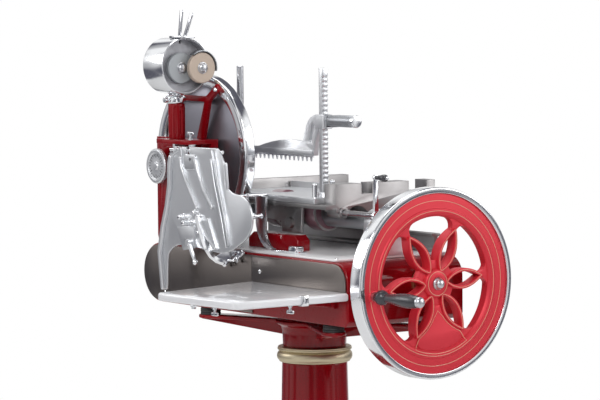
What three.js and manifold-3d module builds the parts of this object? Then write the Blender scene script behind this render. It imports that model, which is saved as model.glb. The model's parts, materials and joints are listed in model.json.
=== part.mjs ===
// A hand crank meat slicer on its cast pedestal: a petal flywheel turns a round knife
// through bevel gears and a chain, a carriage carries the meat past the knife, and the
// slices fall on a tray at the operator's left.
// Millimetres. The origin is on the floor, on the pedestal's axis. X runs to the right
// along the flywheel's plane, Y runs away from the operator and Z runs up.

import * as THREE from 'three';
import { mergeVertices } from 'three/addons/utils/BufferGeometryUtils.js';
import Module from 'manifold-3d';

const wasm = await Module();
wasm.setup();

// Facets round a full turn
const HUGE = 40;
const LARGE = 24;
const MEDIUM = 16;
const SMALL = 12;
const TINY = 8;

// Clearances
const SEAT = 0.3;
const RUNNING = 0.3;
const THROUGH = 5;

// Place of the flywheel's front face centre, which the machine is measured from
const WHEEL_HEIGHT = 900;
const WHEEL_ASIDE = 53;
const WHEEL_REACH = 395;

// Pedestal
const FOOT_RADIUS = 245;
const FOOT_LAND = 40;
const FOOT_EDGE = 14;
const FOOT_DOME_HEIGHT = 150;
const FOOT_RIB = 12;
const FOOT_RIB_HEIGHT = 40;
const FOOT_HUB = 26;
const COLUMN_LOW_RADIUS = 88;
const COLUMN_TOP_RADIUS = 76;
const COLUMN_WALL = 10;
const NECK_RADIUS = 66;
const NECK_HEIGHT = 35;
const GOLD_RING_RADIUS = 88;
const GOLD_RING_WAIST = 84;
const HEAD_HEIGHT = 62;
const HEAD_RADIUS = 74;
const HEAD_FLANGE_RADIUS = 90;
const HEAD_WALL = 12;
const ARM_FLANGE = 8;
const ARM_ROOT_DEPTH = 40;
const ARM_TIP_DEPTH = 11;
const ARM_TIP_RADIUS = 28;
const ARM_WEB = 16;
const RUBBER_RADIUS = 24;
const RUBBER_HEIGHT = 18;

// Base casting, seen along X as a long outline with a round far end
const BASE_FRONT = 58;
const BASE_BACK = 887;
const BASE_TOP = 52;
const BASE_BOTTOM = -90;
const BASE_LEFT = -205;
const BASE_RIGHT = 120;
const BASE_WALL = 8;
const BASE_FRONT_ROUND = 46;
const BASE_TOE = 12;
const FOOT_INSET_LEFT = 27;
const FOOT_INSET_RIGHT = 48;
const FEET_HALF_SPREAD = 246;
const FOOT_PAD = 24;
const SIDE_PLATE = 3.7;
const SIDE_PLATE_MARGIN = 4;
const SIDE_SEAM_Y = 425;
const TOP_PLATE = 5;
const TOP_PLATE_FRONT = 108;
const TOP_PLATE_BACK = 806;
const TOP_PLATE_MARGIN = 4;

// Flywheel
const WHEEL_RADIUS = 215;
const WHEEL_DEPTH = 38;
const RIM_WIDTH = 13;
const BAND_INNER = 169;
const BEAD_INNER = 157;
const RING_INNER = 150;
const BAND_RECESS = 4;
const HUB_RADIUS = 34;
const HUB_FRONT = -3;
const HUB_BACK = 46;
const PETAL_COUNT = 6;
const PETAL_TURN = 5;
const PETAL_ROOT = 28;
const PETAL_TIP = 133;
const PETAL_HALF_WIDTH = 23;
const PETAL_RIB = 7.5;
const PETAL_FRONT = 2;
const PETAL_BACK = 30;
const WEB_FRONT = 8;
const WEB_BACK = 24;
const STRUT_HALF = 6;
const WINDOW_CORNER = 24;
const WINDOW_START = 52;
const COUNTERWEIGHT_WINDOW = 4;
const COUNTERWEIGHT_BACK = 34;

// Wheel shaft and handle
const SHAFT_RADIUS = 14;
const STUB_RADIUS = 9;
const STUB_LENGTH = 9;
const NUT_RADIUS = 14;
const NUT_LENGTH = 15;
const HANDLE_ANGLE = 186;
const HANDLE_RADIUS = 175;
const PIN_RADIUS = 7;
const HANDLE_BOSS = 14;
const GRIP_START = 8;
const GRIP_LENGTH = 148;
const GRIP_BALL = 17;
const GRIP_NECK = 10;
const GRIP_SWELL = 15.5;
const CAP_RADIUS = 12;
const CAP_LENGTH = 13;

// Bearings and drive
const BUSH_WALL = 6;
const BUSH_FLANGE = 7.4;
const SHAFT_BRACKET_Y = 596;
const BRACKET_THICKNESS = 10;
const GEAR_PITCH = 42;
const PINION_PITCH = 14;
const GEAR_TEETH = 24;
const PINION_TEETH = 8;
const TOOTH_DEPTH = 4;
const GEAR_FACE = 12;
const CROSS_SHAFT_RADIUS = 9;
const CHAIN_WIDTH = 6;
const CHAIN_PLANE = -191;
const CHAIN_DEPTH = 7;
const CHAIN_GAP = 1.2;
const DRIVE_SPROCKET = 33;
const KNIFE_SPROCKET = 22;
const LINK_PITCH = 12.7;
const CHAIN_SLOT_HALF = 46;

// Knife and its guard
const KNIFE_Y = 669;
const KNIFE_Z = 269;
const KNIFE_EDGE_X = -163;
const KNIFE_RADIUS = 170;
const KNIFE_DISH = 11;
const KNIFE_HUB = 44;
const KNIFE_THICKNESS = 4;
const KNIFE_SHAFT_RADIUS = 12;
const GUARD_RADIUS = 190;
const GUARD_WALL = 3;
const GUARD_LEFT = -184;
const GUARD_RIGHT = -156;
const GUARD_LIP = 26;

// Knife frame: the casting that carries the knife
const FRAME_THICKNESS = 19;
const FRAME_NEAR_Y = 590;
const FRAME_FAR_Y = 825;
const FRAME_TOP_Z = 308;
const FRAME_BAND = 30;
const FRAME_LEG = 46;
const FRAME_SPINE_HALF = 44;
const FRAME_BOSS_RADIUS = 38;
const FRAME_BOSS_REACH = 28;
const SHELF_THICKNESS = 10;
const SHELF_REACH = 66;
const SHELF_FAR_Y = 725;
const FORK_THICKNESS = 9;
const FORK_WIDTH = 16;
const FORK_KNOT = [-48, 133];
const FORK_NEAR_ANGLE = 119;
const FORK_FAR_ANGLE = 50;

// Deflector
const DEFLECTOR_X = -262;
const DEFLECTOR_THICKNESS = 5;
const DEFLECTOR_RIB = 7;
const ROD_RADIUS = 5;
const ROD_DROP = 14;
const ROD_NEAR_Y = 474;
const ROD_FAR_Y = 690;
const HANGER_Y = [600, 668];
const HANGER_WIDTH = 9;
const LUG_Y = [500, 640];
const LUG_WIDTH = 14;
const THUMBSCREW_Y = 606;

// Thickness dial
const DIAL_RADIUS = 42;
const DIAL_THICKNESS = 12;
const DIAL_Y = 800;
const DIAL_Z = 238;
const DIAL_STAND_OFF = 22;
const DIAL_SPINDLE = 8;

// Sharpener
const POST_X = -240;
const POST_Y = 684;
const PILLAR_RADIUS = 20;
const PILLAR_HEIGHT = 83;
const FLUTE_COUNT = 8;
const FLUTE_RADIUS = 4;
const COLLAR_RADIUS = 23;
const COLLAR_HEIGHT = 18;
const POST_RADIUS = 10;
const DRUM_RADIUS = 66;
const DRUM_WALL = 4;
const DRUM_LIP = 2;
const DRUM_FRONT = 622;
const DRUM_BACK = 720;
const DRUM_X = -255;
const DRUM_RISE = 22;
const STONE_THICKNESS = 14;
const GREY_STONE_RADIUS = 36;
const TAN_STONE_RADIUS = 36;
const GREY_STONE_X = -6;
const TAN_STONE_X = 37;
const STONE_DROP = 5;
const SPINDLE_RADIUS = 6;
const LEVER_LENGTH = 66;
const LEVER_WIDTH = 10;
const LEVER_ROOM = 12;
const LEVER_THICKNESS = 4;
const LEVER_Y = [-60, -39];
const FRONT_LEVER_LEAN = 30;
const REAR_LEVER_LEAN = 9;

// Rail, supports and flat track
const RAIL_X = -60;
const RAIL_Z = 131;
const RAIL_RADIUS = 18;
const RAIL_FRONT = 100;
const RAIL_BACK = 796;
const SUPPORT_DEPTH = 40;
const SUPPORT_FRONT_Y = 109;
const SUPPORT_BACK_Y = 750;
const SUPPORT_LEFT = -100;
const SUPPORT_RIGHT = 14;
const SUPPORT_CROWN = 32;
const TRACK_X = 92;
const TRACK_WIDTH = 26;
const TRACK_TOP = 100;
const ROLLER_RADIUS = 18;
const ROLLER_WIDTH = 12;
const ROLLER_PIN = 6;
const ROLLER_Y = 520;
const LUG_THICKNESS = 10;

// Carriage
const BED_LEFT = -148;
const BED_RIGHT = 232;
const BED_BOTTOM = 160;
const WALL_BOTTOM = 152;
const TUNNEL_GAP = 3;
const BED_TOP = 170;
const BED_FRONT = 215;
const BED_BACK = 668;
const FRONT_WALL = 44;
const REAR_WALL = 26;
const FRONT_WALL_TOP = 216;
const REAR_WALL_TOP = 206;
const FRONT_BOX_LEFT = -120;
const CRANK_GAP_LEFT = -48;
const CRANK_GAP_RIGHT = -17;
const WALL_NOTCH_TOP = 192;
const FRONT_BOX_RIGHT = 164;
const FRONT_SKIRT_LEFT = -20;
const FRONT_SKIRT_BOTTOM = 132;
const SLIDE_BEARING_RADIUS = 44;
const SLIDE_BEARING_LENGTH = 46;
const SLIDE_BEARING_LIFT = 14;
const SLIDE_BEARING_Y = [322, 484];
const APRON_THICKNESS = 8;

// Feed
const FEED_CRANK_X = -101;
const FEED_CRANK_Y = 88;
const FEED_CRANK_Z = 151;
const FEED_SHAFT_RADIUS = 7;
const FEED_ARM_LENGTH = 86;
const FEED_ARM_THICKNESS = 7;
const FEED_BORE_DEPTH = 30;
const FEED_HOUSING_X = 0;
const FEED_HOUSING_RADIUS = 12;
const FEED_ARM_WIDTH = 10;
const FEED_GRIP_LENGTH = 38;
const FEED_STUD_RADIUS = 3.5;
const FEED_SCREW_Y = 452;
const FEED_SCREW_RADIUS = 7;
const FEED_SLOT_HALF = 13;
const SCREW_LUG_X = [20, 196];
const FEED_NUT_LEFT = 32;
const FEED_NUT_LENGTH = 26;
const MITRE_RADIUS = 14;
const TABLE_TRAVEL = 120;
const TRAVEL_SPARE = 17;

// Meat table and clamp
const TABLE_LEFT = -148;
const TABLE_RIGHT = 62;
const TABLE_THICKNESS = 14;
const TABLE_RIM = 7;
const CLAMP_X = -100;
const POST_SIDE = 15;
const FRONT_POST_Y = 288;
const REAR_POST_Y = 622;
const POST_TOP = 478;
const RACK_PITCH = 11;
const RACK_DEPTH = 3;
const REAR_POST_RADIUS = 8;
const BAR_BOTTOM = 277;
const BAR_HEIGHT = 12;
const BAR_WIDTH = 18;
const ARM_HEAD_BOTTOM = 340;
const ARM_HEAD_TOP = 372;
const SPIKE_PITCH = 17;
const SPIKE_LENGTH = 10;
const STRIP_THICKNESS = 4;
const CLAMP_LEVER_LENGTH = 118;

// Chrome strap between the base and the knife's near side
const STRAP_X = -165;
const STRAP_THICKNESS = 6;
const STRAP_FRONT = 276;
const STRAP_BACK = 470;
const STRAP_TOP = 180;

// Slice tray
const TRAY_TOP = -12;
const TRAY_THICKNESS = 18;
const TRAY_NEAR_Y = 50;
const TRAY_FAR_RIGHT_Y = 423;
const TRAY_FAR_LEFT_Y = 343;
const TRAY_LEFT = -524;
const TRAY_CORNER = 26;
const TRAY_ARM_DEPTH = 14;
const TRAY_ARM_WIDTH = 16;
const TRAY_ARM_REACH = 262;
const TRAY_ARM_Y = [112, 330];
const TRAY_SCREW_Y = 240;

// Sizes that follow from the ones above
const FLOOR_Z = -WHEEL_HEIGHT;
const COLUMN_X = -WHEEL_ASIDE;
const COLUMN_Y = WHEEL_REACH;
const HEAD_TOP = BASE_BOTTOM - RUBBER_HEIGHT;
const HEAD_BOTTOM = HEAD_TOP - HEAD_HEIGHT;
const COLUMN_TOP = HEAD_BOTTOM - SEAT;
const SHOULDER = COLUMN_TOP - NECK_HEIGHT;
const PLATE_TOP = BASE_TOP + SEAT + TOP_PLATE;
const SIDE_PLATE_X = BASE_LEFT - SEAT - SIDE_PLATE;
const SIDE_PLATE_FRONT_BOTTOM = TRAY_TOP - TRAY_THICKNESS;
const FRAME_LEFT = BASE_LEFT;
const FRAME_RIGHT = BASE_LEFT + FRAME_THICKNESS;
const FRAME_BOTTOM = BASE_TOP + SEAT;
const SHELF_Z = FRAME_TOP_Z - SHELF_THICKNESS;
const PILLAR_Z = FRAME_TOP_Z + SEAT;
const COLLAR_Z = PILLAR_Z + PILLAR_HEIGHT + SEAT;
const DRUM_Z = KNIFE_Z + GUARD_RADIUS + DRUM_RISE;
const TABLE_BOTTOM = BED_TOP + SEAT;
const TABLE_TOP = TABLE_BOTTOM + TABLE_THICKNESS;
const TABLE_FRONT = BED_FRONT + FRONT_WALL + 2 * SEAT;
const TABLE_BACK = BED_BACK - REAR_WALL - 2 * SEAT;
const CROSS_SHAFT_LEFT = CHAIN_PLANE - CHAIN_WIDTH / 2;
const FRONT_BUSH_RADIUS = SHAFT_RADIUS + BUSH_WALL;

// Finishes
function finish(color, roughness, metalness) {
  return new THREE.MeshStandardMaterial({ color, roughness, metalness });
}
const redEnamel = finish(0xb3141c, 0.25, 0.1);
const polishedSteel = finish(0xc9ccd2, 0.15, 1.0);
const castAluminium = finish(0xb4b6ba, 0.32, 1.0);
const darkSteel = finish(0x5c5f63, 0.4, 1.0);
const chrome = finish(0xe2e4e8, 0.06, 1.0);
const gold = finish(0xc9a35c, 0.25, 1.0);
const bronze = finish(0xa9814a, 0.35, 1.0);
const blackGrip = finish(0x16181a, 0.3, 0.0);
const whiteEnamel = finish(0xf1f2f3, 0.2, 0.0);
const rubber = finish(0x3b3d40, 0.8, 0.0);
const greyStone = finish(0x7e848a, 0.9, 0.0);
const tanStone = finish(0xa88f7c, 0.9, 0.0);

// Solids from three.js geometry
const WELD = 1e-4;

function signedVolume(points, corners) {
  const a = new THREE.Vector3();
  const b = new THREE.Vector3();
  const c = new THREE.Vector3();
  let sum = 0;
  for (let i = 0; i < corners.length; i += 3) {
    a.fromArray(points, 3 * corners[i]);
    b.fromArray(points, 3 * corners[i + 1]);
    c.fromArray(points, 3 * corners[i + 2]);
    sum += a.dot(b.cross(c));
  }
  return sum / 6;
}

function solidOf(geometry) {
  geometry.deleteAttribute('normal');
  geometry.deleteAttribute('uv');
  const welded = mergeVertices(geometry, WELD);
  const points = new Float32Array(welded.attributes.position.array);
  const all = welded.index.array;
  const corners = [];
  for (let i = 0; i < all.length; i += 3) {
    const distinct = new Set([all[i], all[i + 1], all[i + 2]]).size === 3;
    if (distinct) {
      corners.push(all[i], all[i + 1], all[i + 2]);
    }
  }
  if (signedVolume(points, corners) < 0) {
    corners.reverse();
  }
  return new wasm.Manifold(new wasm.Mesh({
    numProp: 3,
    vertProperties: points,
    triVerts: new Uint32Array(corners),
  }));
}

function join(first, ...others) {
  return others.reduce((sum, next) => sum.add(next), first);
}

function cut(first, ...tools) {
  return tools.reduce((rest, tool) => rest.subtract(tool), first);
}

function piece(name, solid, material, place = [0, 0, 0]) {
  const mesh = solid.getMesh();
  const geometry = new THREE.BufferGeometry();
  geometry.setAttribute('position', new THREE.BufferAttribute(new Float32Array(mesh.vertProperties), 3));
  geometry.setIndex(new THREE.BufferAttribute(new Uint32Array(mesh.triVerts), 1));
  geometry.computeVertexNormals();
  const body = new THREE.Mesh(geometry, material);
  body.name = name;
  body.position.set(...place);
  return body;
}

// Outlines
function polygon(points) {
  return new THREE.Shape(points.map(([u, v]) => new THREE.Vector2(u, v)));
}

function roundedBox(u0, u1, v0, v1, radius) {
  const shape = new THREE.Shape();
  shape.moveTo(u0 + radius, v0);
  shape.lineTo(u1 - radius, v0);
  shape.absarc(u1 - radius, v0 + radius, radius, -Math.PI / 2, 0, false);
  shape.lineTo(u1, v1 - radius);
  shape.absarc(u1 - radius, v1 - radius, radius, 0, Math.PI / 2, false);
  shape.lineTo(u0 + radius, v1);
  shape.absarc(u0 + radius, v1 - radius, radius, Math.PI / 2, Math.PI, false);
  shape.lineTo(u0, v0 + radius);
  shape.absarc(u0 + radius, v0 + radius, radius, Math.PI, 1.5 * Math.PI, false);
  return shape;
}

function circle(u, v, radius) {
  const shape = new THREE.Shape();
  shape.absarc(u, v, radius, 0, 2 * Math.PI, false);
  return shape;
}

// Slabs: an outline drawn facing X in (Y, Z), facing Y in (X, Z) or facing Z in (X, Y)
const X = new THREE.Vector3(1, 0, 0);
const Y = new THREE.Vector3(0, 1, 0);
const Z = new THREE.Vector3(0, 0, 1);
const FACING = {
  x: new THREE.Matrix4().makeBasis(Y, Z, X),
  y: new THREE.Matrix4().makeBasis(X, Z, Y.clone().negate()),
  z: new THREE.Matrix4(),
};

function slab(axis, outline, low, high, round = 0, steps = 4) {
  const geometry = new THREE.ExtrudeGeometry(outline, {
    depth: high - low - 2 * round,
    bevelEnabled: round > 0,
    bevelThickness: round,
    bevelSize: round,
    bevelOffset: -round,
    bevelSegments: 1,
    curveSegments: steps,
  });
  geometry.translate(0, 0, round);
  geometry.applyMatrix4(FACING[axis]);
  const shift = { x: [low, 0, 0], y: [0, high, 0], z: [0, 0, low] }[axis];
  geometry.translate(...shift);
  return solidOf(geometry);
}

function block(x0, x1, y0, y1, z0, z1) {
  const geometry = new THREE.BoxGeometry(x1 - x0, y1 - y0, z1 - z0);
  geometry.translate((x0 + x1) / 2, (y0 + y1) / 2, (z0 + z1) / 2);
  return solidOf(geometry);
}

// Turned forms: a profile of [distance along the axis, radius]
function alongAxis(geometry, axis) {
  if (axis === 'x') {
    geometry.rotateZ(-Math.PI / 2);
  }
  if (axis === 'z') {
    geometry.rotateX(Math.PI / 2);
  }
  return geometry;
}

function turned(axis, profile, steps = MEDIUM) {
  const points = profile.map(([along, radius]) => new THREE.Vector2(radius, along));
  return solidOf(alongAxis(new THREE.LatheGeometry(points, steps), axis));
}

function ring(axis, profile, steps = MEDIUM) {
  return turned(axis, [...profile, profile[0]], steps);
}

function rod(axis, low, high, radius, steps = SMALL) {
  const geometry = new THREE.CylinderGeometry(radius, radius, high - low, steps);
  geometry.translate(0, (low + high) / 2, 0);
  return solidOf(alongAxis(geometry, axis));
}

function hole(axis, low, high, radius) {
  return rod(axis, low, high, radius, MEDIUM);
}

function arcPoints(centre, radius, from, to, count) {
  return Array.from({ length: count + 1 }, (_, i) => {
    const angle = from + (to - from) * i / count;
    return [centre[0] + radius * Math.cos(angle), centre[1] + radius * Math.sin(angle)];
  });
}

// An outline with square-topped teeth round a circle
function toothedOutline(teeth, tip, root, turn = 0) {
  const step = 2 * Math.PI / teeth;
  const points = [];
  for (let tooth = 0; tooth < teeth; tooth += 1) {
    const start = tooth * step + turn;
    for (const [share, radius] of [[-0.3, root], [-0.14, tip], [0.14, tip], [0.3, root]]) {
      points.push([radius * Math.cos(start + share * step), radius * Math.sin(start + share * step)]);
    }
  }
  return polygon(points);
}

// Pedestal
function pedestalColumn() {
  const wall = COLUMN_WALL;
  const footTop = FLOOR_Z + FOOT_DOME_HEIGHT;
  const outside = turned('z', [
    [FLOOR_Z, 0],
    [FLOOR_Z, FOOT_RADIUS],
    [FLOOR_Z + FOOT_EDGE, FOOT_RADIUS],
    [FLOOR_Z + FOOT_EDGE + 8, FOOT_RADIUS - 10],
    [FLOOR_Z + FOOT_EDGE + 12, FOOT_RADIUS - 26],
    [FLOOR_Z + FOOT_EDGE + 32, FOOT_RADIUS - 62],
    [FLOOR_Z + FOOT_EDGE + 56, FOOT_RADIUS - 100],
    [footTop - 44, COLUMN_LOW_RADIUS + 30],
    [footTop, COLUMN_LOW_RADIUS + 12],
    [footTop + 34, COLUMN_LOW_RADIUS + 4],
    [footTop + 38, COLUMN_LOW_RADIUS + 11],
    [footTop + 50, COLUMN_LOW_RADIUS + 11],
    [footTop + 54, COLUMN_LOW_RADIUS],
    [SHOULDER, COLUMN_TOP_RADIUS],
    [SHOULDER, NECK_RADIUS],
    [COLUMN_TOP, NECK_RADIUS],
    [COLUMN_TOP, 0],
  ], LARGE);
  const inside = turned('z', [
    [FLOOR_Z - THROUGH, 0],
    [FLOOR_Z - THROUGH, FOOT_RADIUS - FOOT_LAND],
    [FLOOR_Z + FOOT_EDGE, FOOT_RADIUS - FOOT_LAND],
    [FLOOR_Z + FOOT_EDGE + 40, FOOT_RADIUS - 96],
    [footTop - 44, COLUMN_LOW_RADIUS + 10],
    [footTop + 20, COLUMN_LOW_RADIUS - wall],
    [SHOULDER - wall, NECK_RADIUS - wall],
    [COLUMN_TOP + THROUGH, NECK_RADIUS - wall],
    [COLUMN_TOP + THROUGH, 0],
  ], LARGE);
  const half = FOOT_RIB / 2;
  const ribTop = FLOOR_Z + FOOT_RIB_HEIGHT;
  const ribs = join(
    block(-FOOT_RADIUS, FOOT_RADIUS, -half, half, FLOOR_Z, ribTop),
    block(-half, half, -FOOT_RADIUS, FOOT_RADIUS, FLOOR_Z, ribTop),
    rod('z', FLOOR_Z, ribTop, FOOT_HUB),
  );
  const column = outside.subtract(inside.subtract(ribs));
  return piece('pedestal_column', column, redEnamel, [COLUMN_X, COLUMN_Y, 0]);
}

function pedestalRing() {
  const inner = NECK_RADIUS + SEAT;
  const low = SHOULDER + SEAT;
  const high = COLUMN_TOP;
  const mid = (low + high) / 2;
  const profile = [
    [low, inner],
    [low, GOLD_RING_RADIUS - 5],
    [low + 5, GOLD_RING_RADIUS],
    [low + 11, GOLD_RING_WAIST + 1],
    [mid, GOLD_RING_WAIST],
    [high - 11, GOLD_RING_WAIST + 1],
    [high - 5, GOLD_RING_RADIUS],
    [high, GOLD_RING_RADIUS - 5],
    [high, inner],
  ];
  return piece('pedestal_ring', ring('z', profile, LARGE), gold, [COLUMN_X, COLUMN_Y, 0]);
}

const footLeftX = BASE_LEFT + FOOT_INSET_LEFT;
const footRightX = BASE_RIGHT - FOOT_INSET_RIGHT;
const footPlaces = [
  [footLeftX, COLUMN_Y - FEET_HALF_SPREAD],
  [footRightX, COLUMN_Y - FEET_HALF_SPREAD],
  [footLeftX, COLUMN_Y + FEET_HALF_SPREAD],
  [footRightX, COLUMN_Y + FEET_HALF_SPREAD],
];

function pedestalHead() {
  const hub = turned('z', [
    [HEAD_TOP - HEAD_WALL, 0],
    [HEAD_TOP - HEAD_WALL, HEAD_RADIUS - HEAD_WALL],
    [HEAD_BOTTOM, HEAD_RADIUS - HEAD_WALL],
    [HEAD_BOTTOM, HEAD_RADIUS],
    [HEAD_TOP - 26, HEAD_RADIUS + 1],
    [HEAD_TOP - 14, HEAD_RADIUS + 6],
    [HEAD_TOP - ARM_FLANGE, HEAD_FLANGE_RADIUS],
    [HEAD_TOP, HEAD_FLANGE_RADIUS],
    [HEAD_TOP, 0],
  ], MEDIUM);
  const root = HEAD_RADIUS - HEAD_WALL / 2;
  const arms = footPlaces.map(([x, y]) => {
    const reach = Math.hypot(x - COLUMN_X, y - COLUMN_Y);
    const turn = Math.atan2(y - COLUMN_Y, x - COLUMN_X);
    const plan = new THREE.Shape();
    plan.moveTo(root, -ARM_TIP_RADIUS - 8);
    plan.lineTo(reach, -ARM_TIP_RADIUS);
    plan.absarc(reach, 0, ARM_TIP_RADIUS, -Math.PI / 2, Math.PI / 2, false);
    plan.lineTo(root, ARM_TIP_RADIUS + 8);
    const flange = slab('z', plan, HEAD_TOP - ARM_FLANGE, HEAD_TOP);
    const web = slab('y', polygon([
      [root, HEAD_TOP - ARM_ROOT_DEPTH],
      [reach + ARM_TIP_RADIUS - 6, HEAD_TOP - ARM_TIP_DEPTH],
      [reach + ARM_TIP_RADIUS - 6, HEAD_TOP - ARM_FLANGE / 2],
      [root, HEAD_TOP - ARM_FLANGE / 2],
    ]), -ARM_WEB / 2, ARM_WEB / 2);
    return flange.add(web).rotate([0, 0, THREE.MathUtils.radToDeg(turn)]);
  });
  return piece('pedestal_head', join(hub, ...arms), redEnamel, [COLUMN_X, COLUMN_Y, 0]);
}

function rubberFeet() {
  return footPlaces.map(([x, y], i) => {
    const foot = turned('z', [
      [HEAD_TOP + SEAT, 0],
      [HEAD_TOP + SEAT, RUBBER_RADIUS],
      [BASE_BOTTOM - 4, RUBBER_RADIUS],
      [BASE_BOTTOM - SEAT, RUBBER_RADIUS - 3],
      [BASE_BOTTOM - SEAT, 0],
    ], SMALL);
    return piece(`rubber_foot_${i + 1}`, foot, rubber, [x, y, 0]);
  });
}

// Base
const baseHalf = (BASE_TOP - BASE_BOTTOM) / 2;
const baseEndY = BASE_BACK - baseHalf;

function baseOutline(inset) {
  const shape = new THREE.Shape();
  const front = BASE_FRONT + inset;
  const top = BASE_TOP - inset;
  const bottom = BASE_BOTTOM + inset;
  const round = BASE_FRONT_ROUND - inset / 2;
  shape.moveTo(front + BASE_TOE, bottom);
  shape.lineTo(baseEndY, bottom);
  shape.absarc(baseEndY, BASE_TOP - baseHalf, baseHalf - inset, -Math.PI / 2, Math.PI / 2, false);
  shape.lineTo(front + round, top);
  shape.absellipse(front + round, top - round, round, round, Math.PI / 2, Math.PI, false);
  shape.lineTo(front, bottom + BASE_TOE);
  return shape;
}

const crossBracketX = [-176, -104];

function baseCasting() {
  const body = slab('x', baseOutline(0), BASE_LEFT, BASE_RIGHT, 0, 6);
  const inLeft = BASE_LEFT + BASE_WALL;
  const inRight = BASE_RIGHT - BASE_WALL;
  const hollow = slab('x', baseOutline(BASE_WALL), inLeft, inRight, 0, 6);
  const mouth = block(inLeft, inRight, BASE_FRONT + BASE_WALL + BASE_TOE, baseEndY,
    BASE_BOTTOM - THROUGH, BASE_BOTTOM + BASE_WALL + THROUGH);
  let shell = cut(body, hollow, mouth);
  const padTop = BASE_BOTTOM + FOOT_PAD;
  for (const [x, y] of footPlaces) {
    const outward = x < COLUMN_X ? BASE_LEFT + 1 : BASE_RIGHT - 1;
    const inward = x < COLUMN_X ? x + RUBBER_RADIUS : x - RUBBER_RADIUS;
    const pad = block(Math.min(outward, inward), Math.max(outward, inward),
      y - RUBBER_RADIUS, y + RUBBER_RADIUS, BASE_BOTTOM, padTop);
    shell = shell.add(pad);
  }
  const ceiling = BASE_TOP - BASE_WALL / 2;
  const shaftBracket = block(inLeft - 1, inRight + 1, SHAFT_BRACKET_Y,
    SHAFT_BRACKET_Y + BRACKET_THICKNESS, -FRONT_BUSH_RADIUS - 18, ceiling);
  shell = shell.add(shaftBracket);
  const bossLow = -CROSS_SHAFT_RADIUS - BUSH_WALL - 10;
  for (const x of crossBracketX) {
    shell = shell.add(block(x, x + BRACKET_THICKNESS, KNIFE_Y - 30, KNIFE_Y + 30, bossLow, ceiling));
    shell = shell.add(rod('x', x - 3, x + BRACKET_THICKNESS + 3, CROSS_SHAFT_RADIUS + BUSH_WALL)
      .translate([0, KNIFE_Y, 0]));
  }
  const frontBoss = rod('y', BASE_FRONT + 2, BASE_FRONT + 26, FRONT_BUSH_RADIUS + 14, MEDIUM);
  shell = shell.add(frontBoss);
  const shaftHole = hole('y', BASE_FRONT - THROUGH, SHAFT_BRACKET_Y + BRACKET_THICKNESS + THROUGH,
    FRONT_BUSH_RADIUS + RUNNING);
  const crossHole = hole('x', crossBracketX[0] - THROUGH, crossBracketX[1] + BRACKET_THICKNESS + THROUGH,
    CROSS_SHAFT_RADIUS + RUNNING).translate([0, KNIFE_Y, 0]);
  const chainSlot = block(inLeft, FRAME_RIGHT + 1, KNIFE_Y - CHAIN_SLOT_HALF, KNIFE_Y + CHAIN_SLOT_HALF,
    BASE_TOP - BASE_WALL - 1, BASE_TOP + THROUGH);
  return piece('base_casting', cut(shell, shaftHole, crossHole, chainSlot), redEnamel);
}

function sidePlates() {
  const whole = slab('x', baseOutline(SIDE_PLATE_MARGIN), SIDE_PLATE_X, SIDE_PLATE_X + SIDE_PLATE, 0, 6);
  const wide = 2 * BASE_BACK;
  const front = whole.intersect(block(-wide, wide, -wide, SIDE_SEAM_Y - SEAT, SIDE_PLATE_FRONT_BOTTOM, wide));
  const rear = whole.intersect(block(-wide, wide, SIDE_SEAM_Y + SEAT, wide, -wide, wide));
  return [
    piece('front_side_plate', front, polishedSteel),
    piece('rear_side_plate', rear, polishedSteel),
  ];
}

function topPlate() {
  const left = BASE_LEFT + TOP_PLATE_MARGIN;
  const right = BASE_RIGHT - TOP_PLATE_MARGIN;
  const low = BASE_TOP + SEAT;
  const sheet = slab('z', roundedBox(left, right, TOP_PLATE_FRONT, TOP_PLATE_BACK, 10), low, PLATE_TOP);
  const frameRoom = block(left - THROUGH, FRAME_RIGHT + 2, FRAME_NEAR_Y - 10, TOP_PLATE_BACK + THROUGH,
    low - THROUGH, PLATE_TOP + THROUGH);
  return piece('base_top_plate', cut(sheet, frameRoom), whiteEnamel);
}

function shaftBushes() {
  const bore = SHAFT_RADIUS + RUNNING;
  const flangeFront = BASE_FRONT - SEAT - BUSH_FLANGE;
  const frontBush = ring('y', [
    [flangeFront, bore],
    [flangeFront, FRONT_BUSH_RADIUS + 9],
    [BASE_FRONT - SEAT, FRONT_BUSH_RADIUS + 9],
    [BASE_FRONT - SEAT, FRONT_BUSH_RADIUS],
    [BASE_FRONT + 22, FRONT_BUSH_RADIUS],
    [BASE_FRONT + 22, bore],
  ], MEDIUM);
  const rearBush = ring('y', [
    [SHAFT_BRACKET_Y - 2, bore],
    [SHAFT_BRACKET_Y - 2, FRONT_BUSH_RADIUS],
    [SHAFT_BRACKET_Y + BRACKET_THICKNESS + 2, FRONT_BUSH_RADIUS],
    [SHAFT_BRACKET_Y + BRACKET_THICKNESS + 2, bore],
  ], MEDIUM);
  return [
    piece('front_bush', frontBush, bronze),
    piece('rear_bush', rearBush, bronze),
  ];
}

// Flywheel: the rim and ring are turned, the petals are cast between ring and hub
function petalHalfWidth(radius) {
  const share = (radius - PETAL_ROOT) / (PETAL_TIP - PETAL_ROOT);
  return share <= 0 || share >= 1 ? 0 : PETAL_HALF_WIDTH * Math.sin(Math.PI * share ** 0.9) ** 0.8;
}

function spokeHalfWidth(radius) {
  const intoCorner = Math.max(0, radius - (RING_INNER - WINDOW_CORNER));
  const fillet = WINDOW_CORNER - Math.sqrt(Math.max(0, WINDOW_CORNER ** 2 - intoCorner ** 2));
  const neck = radius < PETAL_TIP ? STRUT_HALF * radius / PETAL_TIP : STRUT_HALF;
  return Math.max(petalHalfWidth(radius), neck) + fillet;
}

const petalAngle = (index) => THREE.MathUtils.degToRad(PETAL_TURN + index * 360 / PETAL_COUNT);
const onCircle = (radius, angle) => [radius * Math.cos(angle), radius * Math.sin(angle)];

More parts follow.
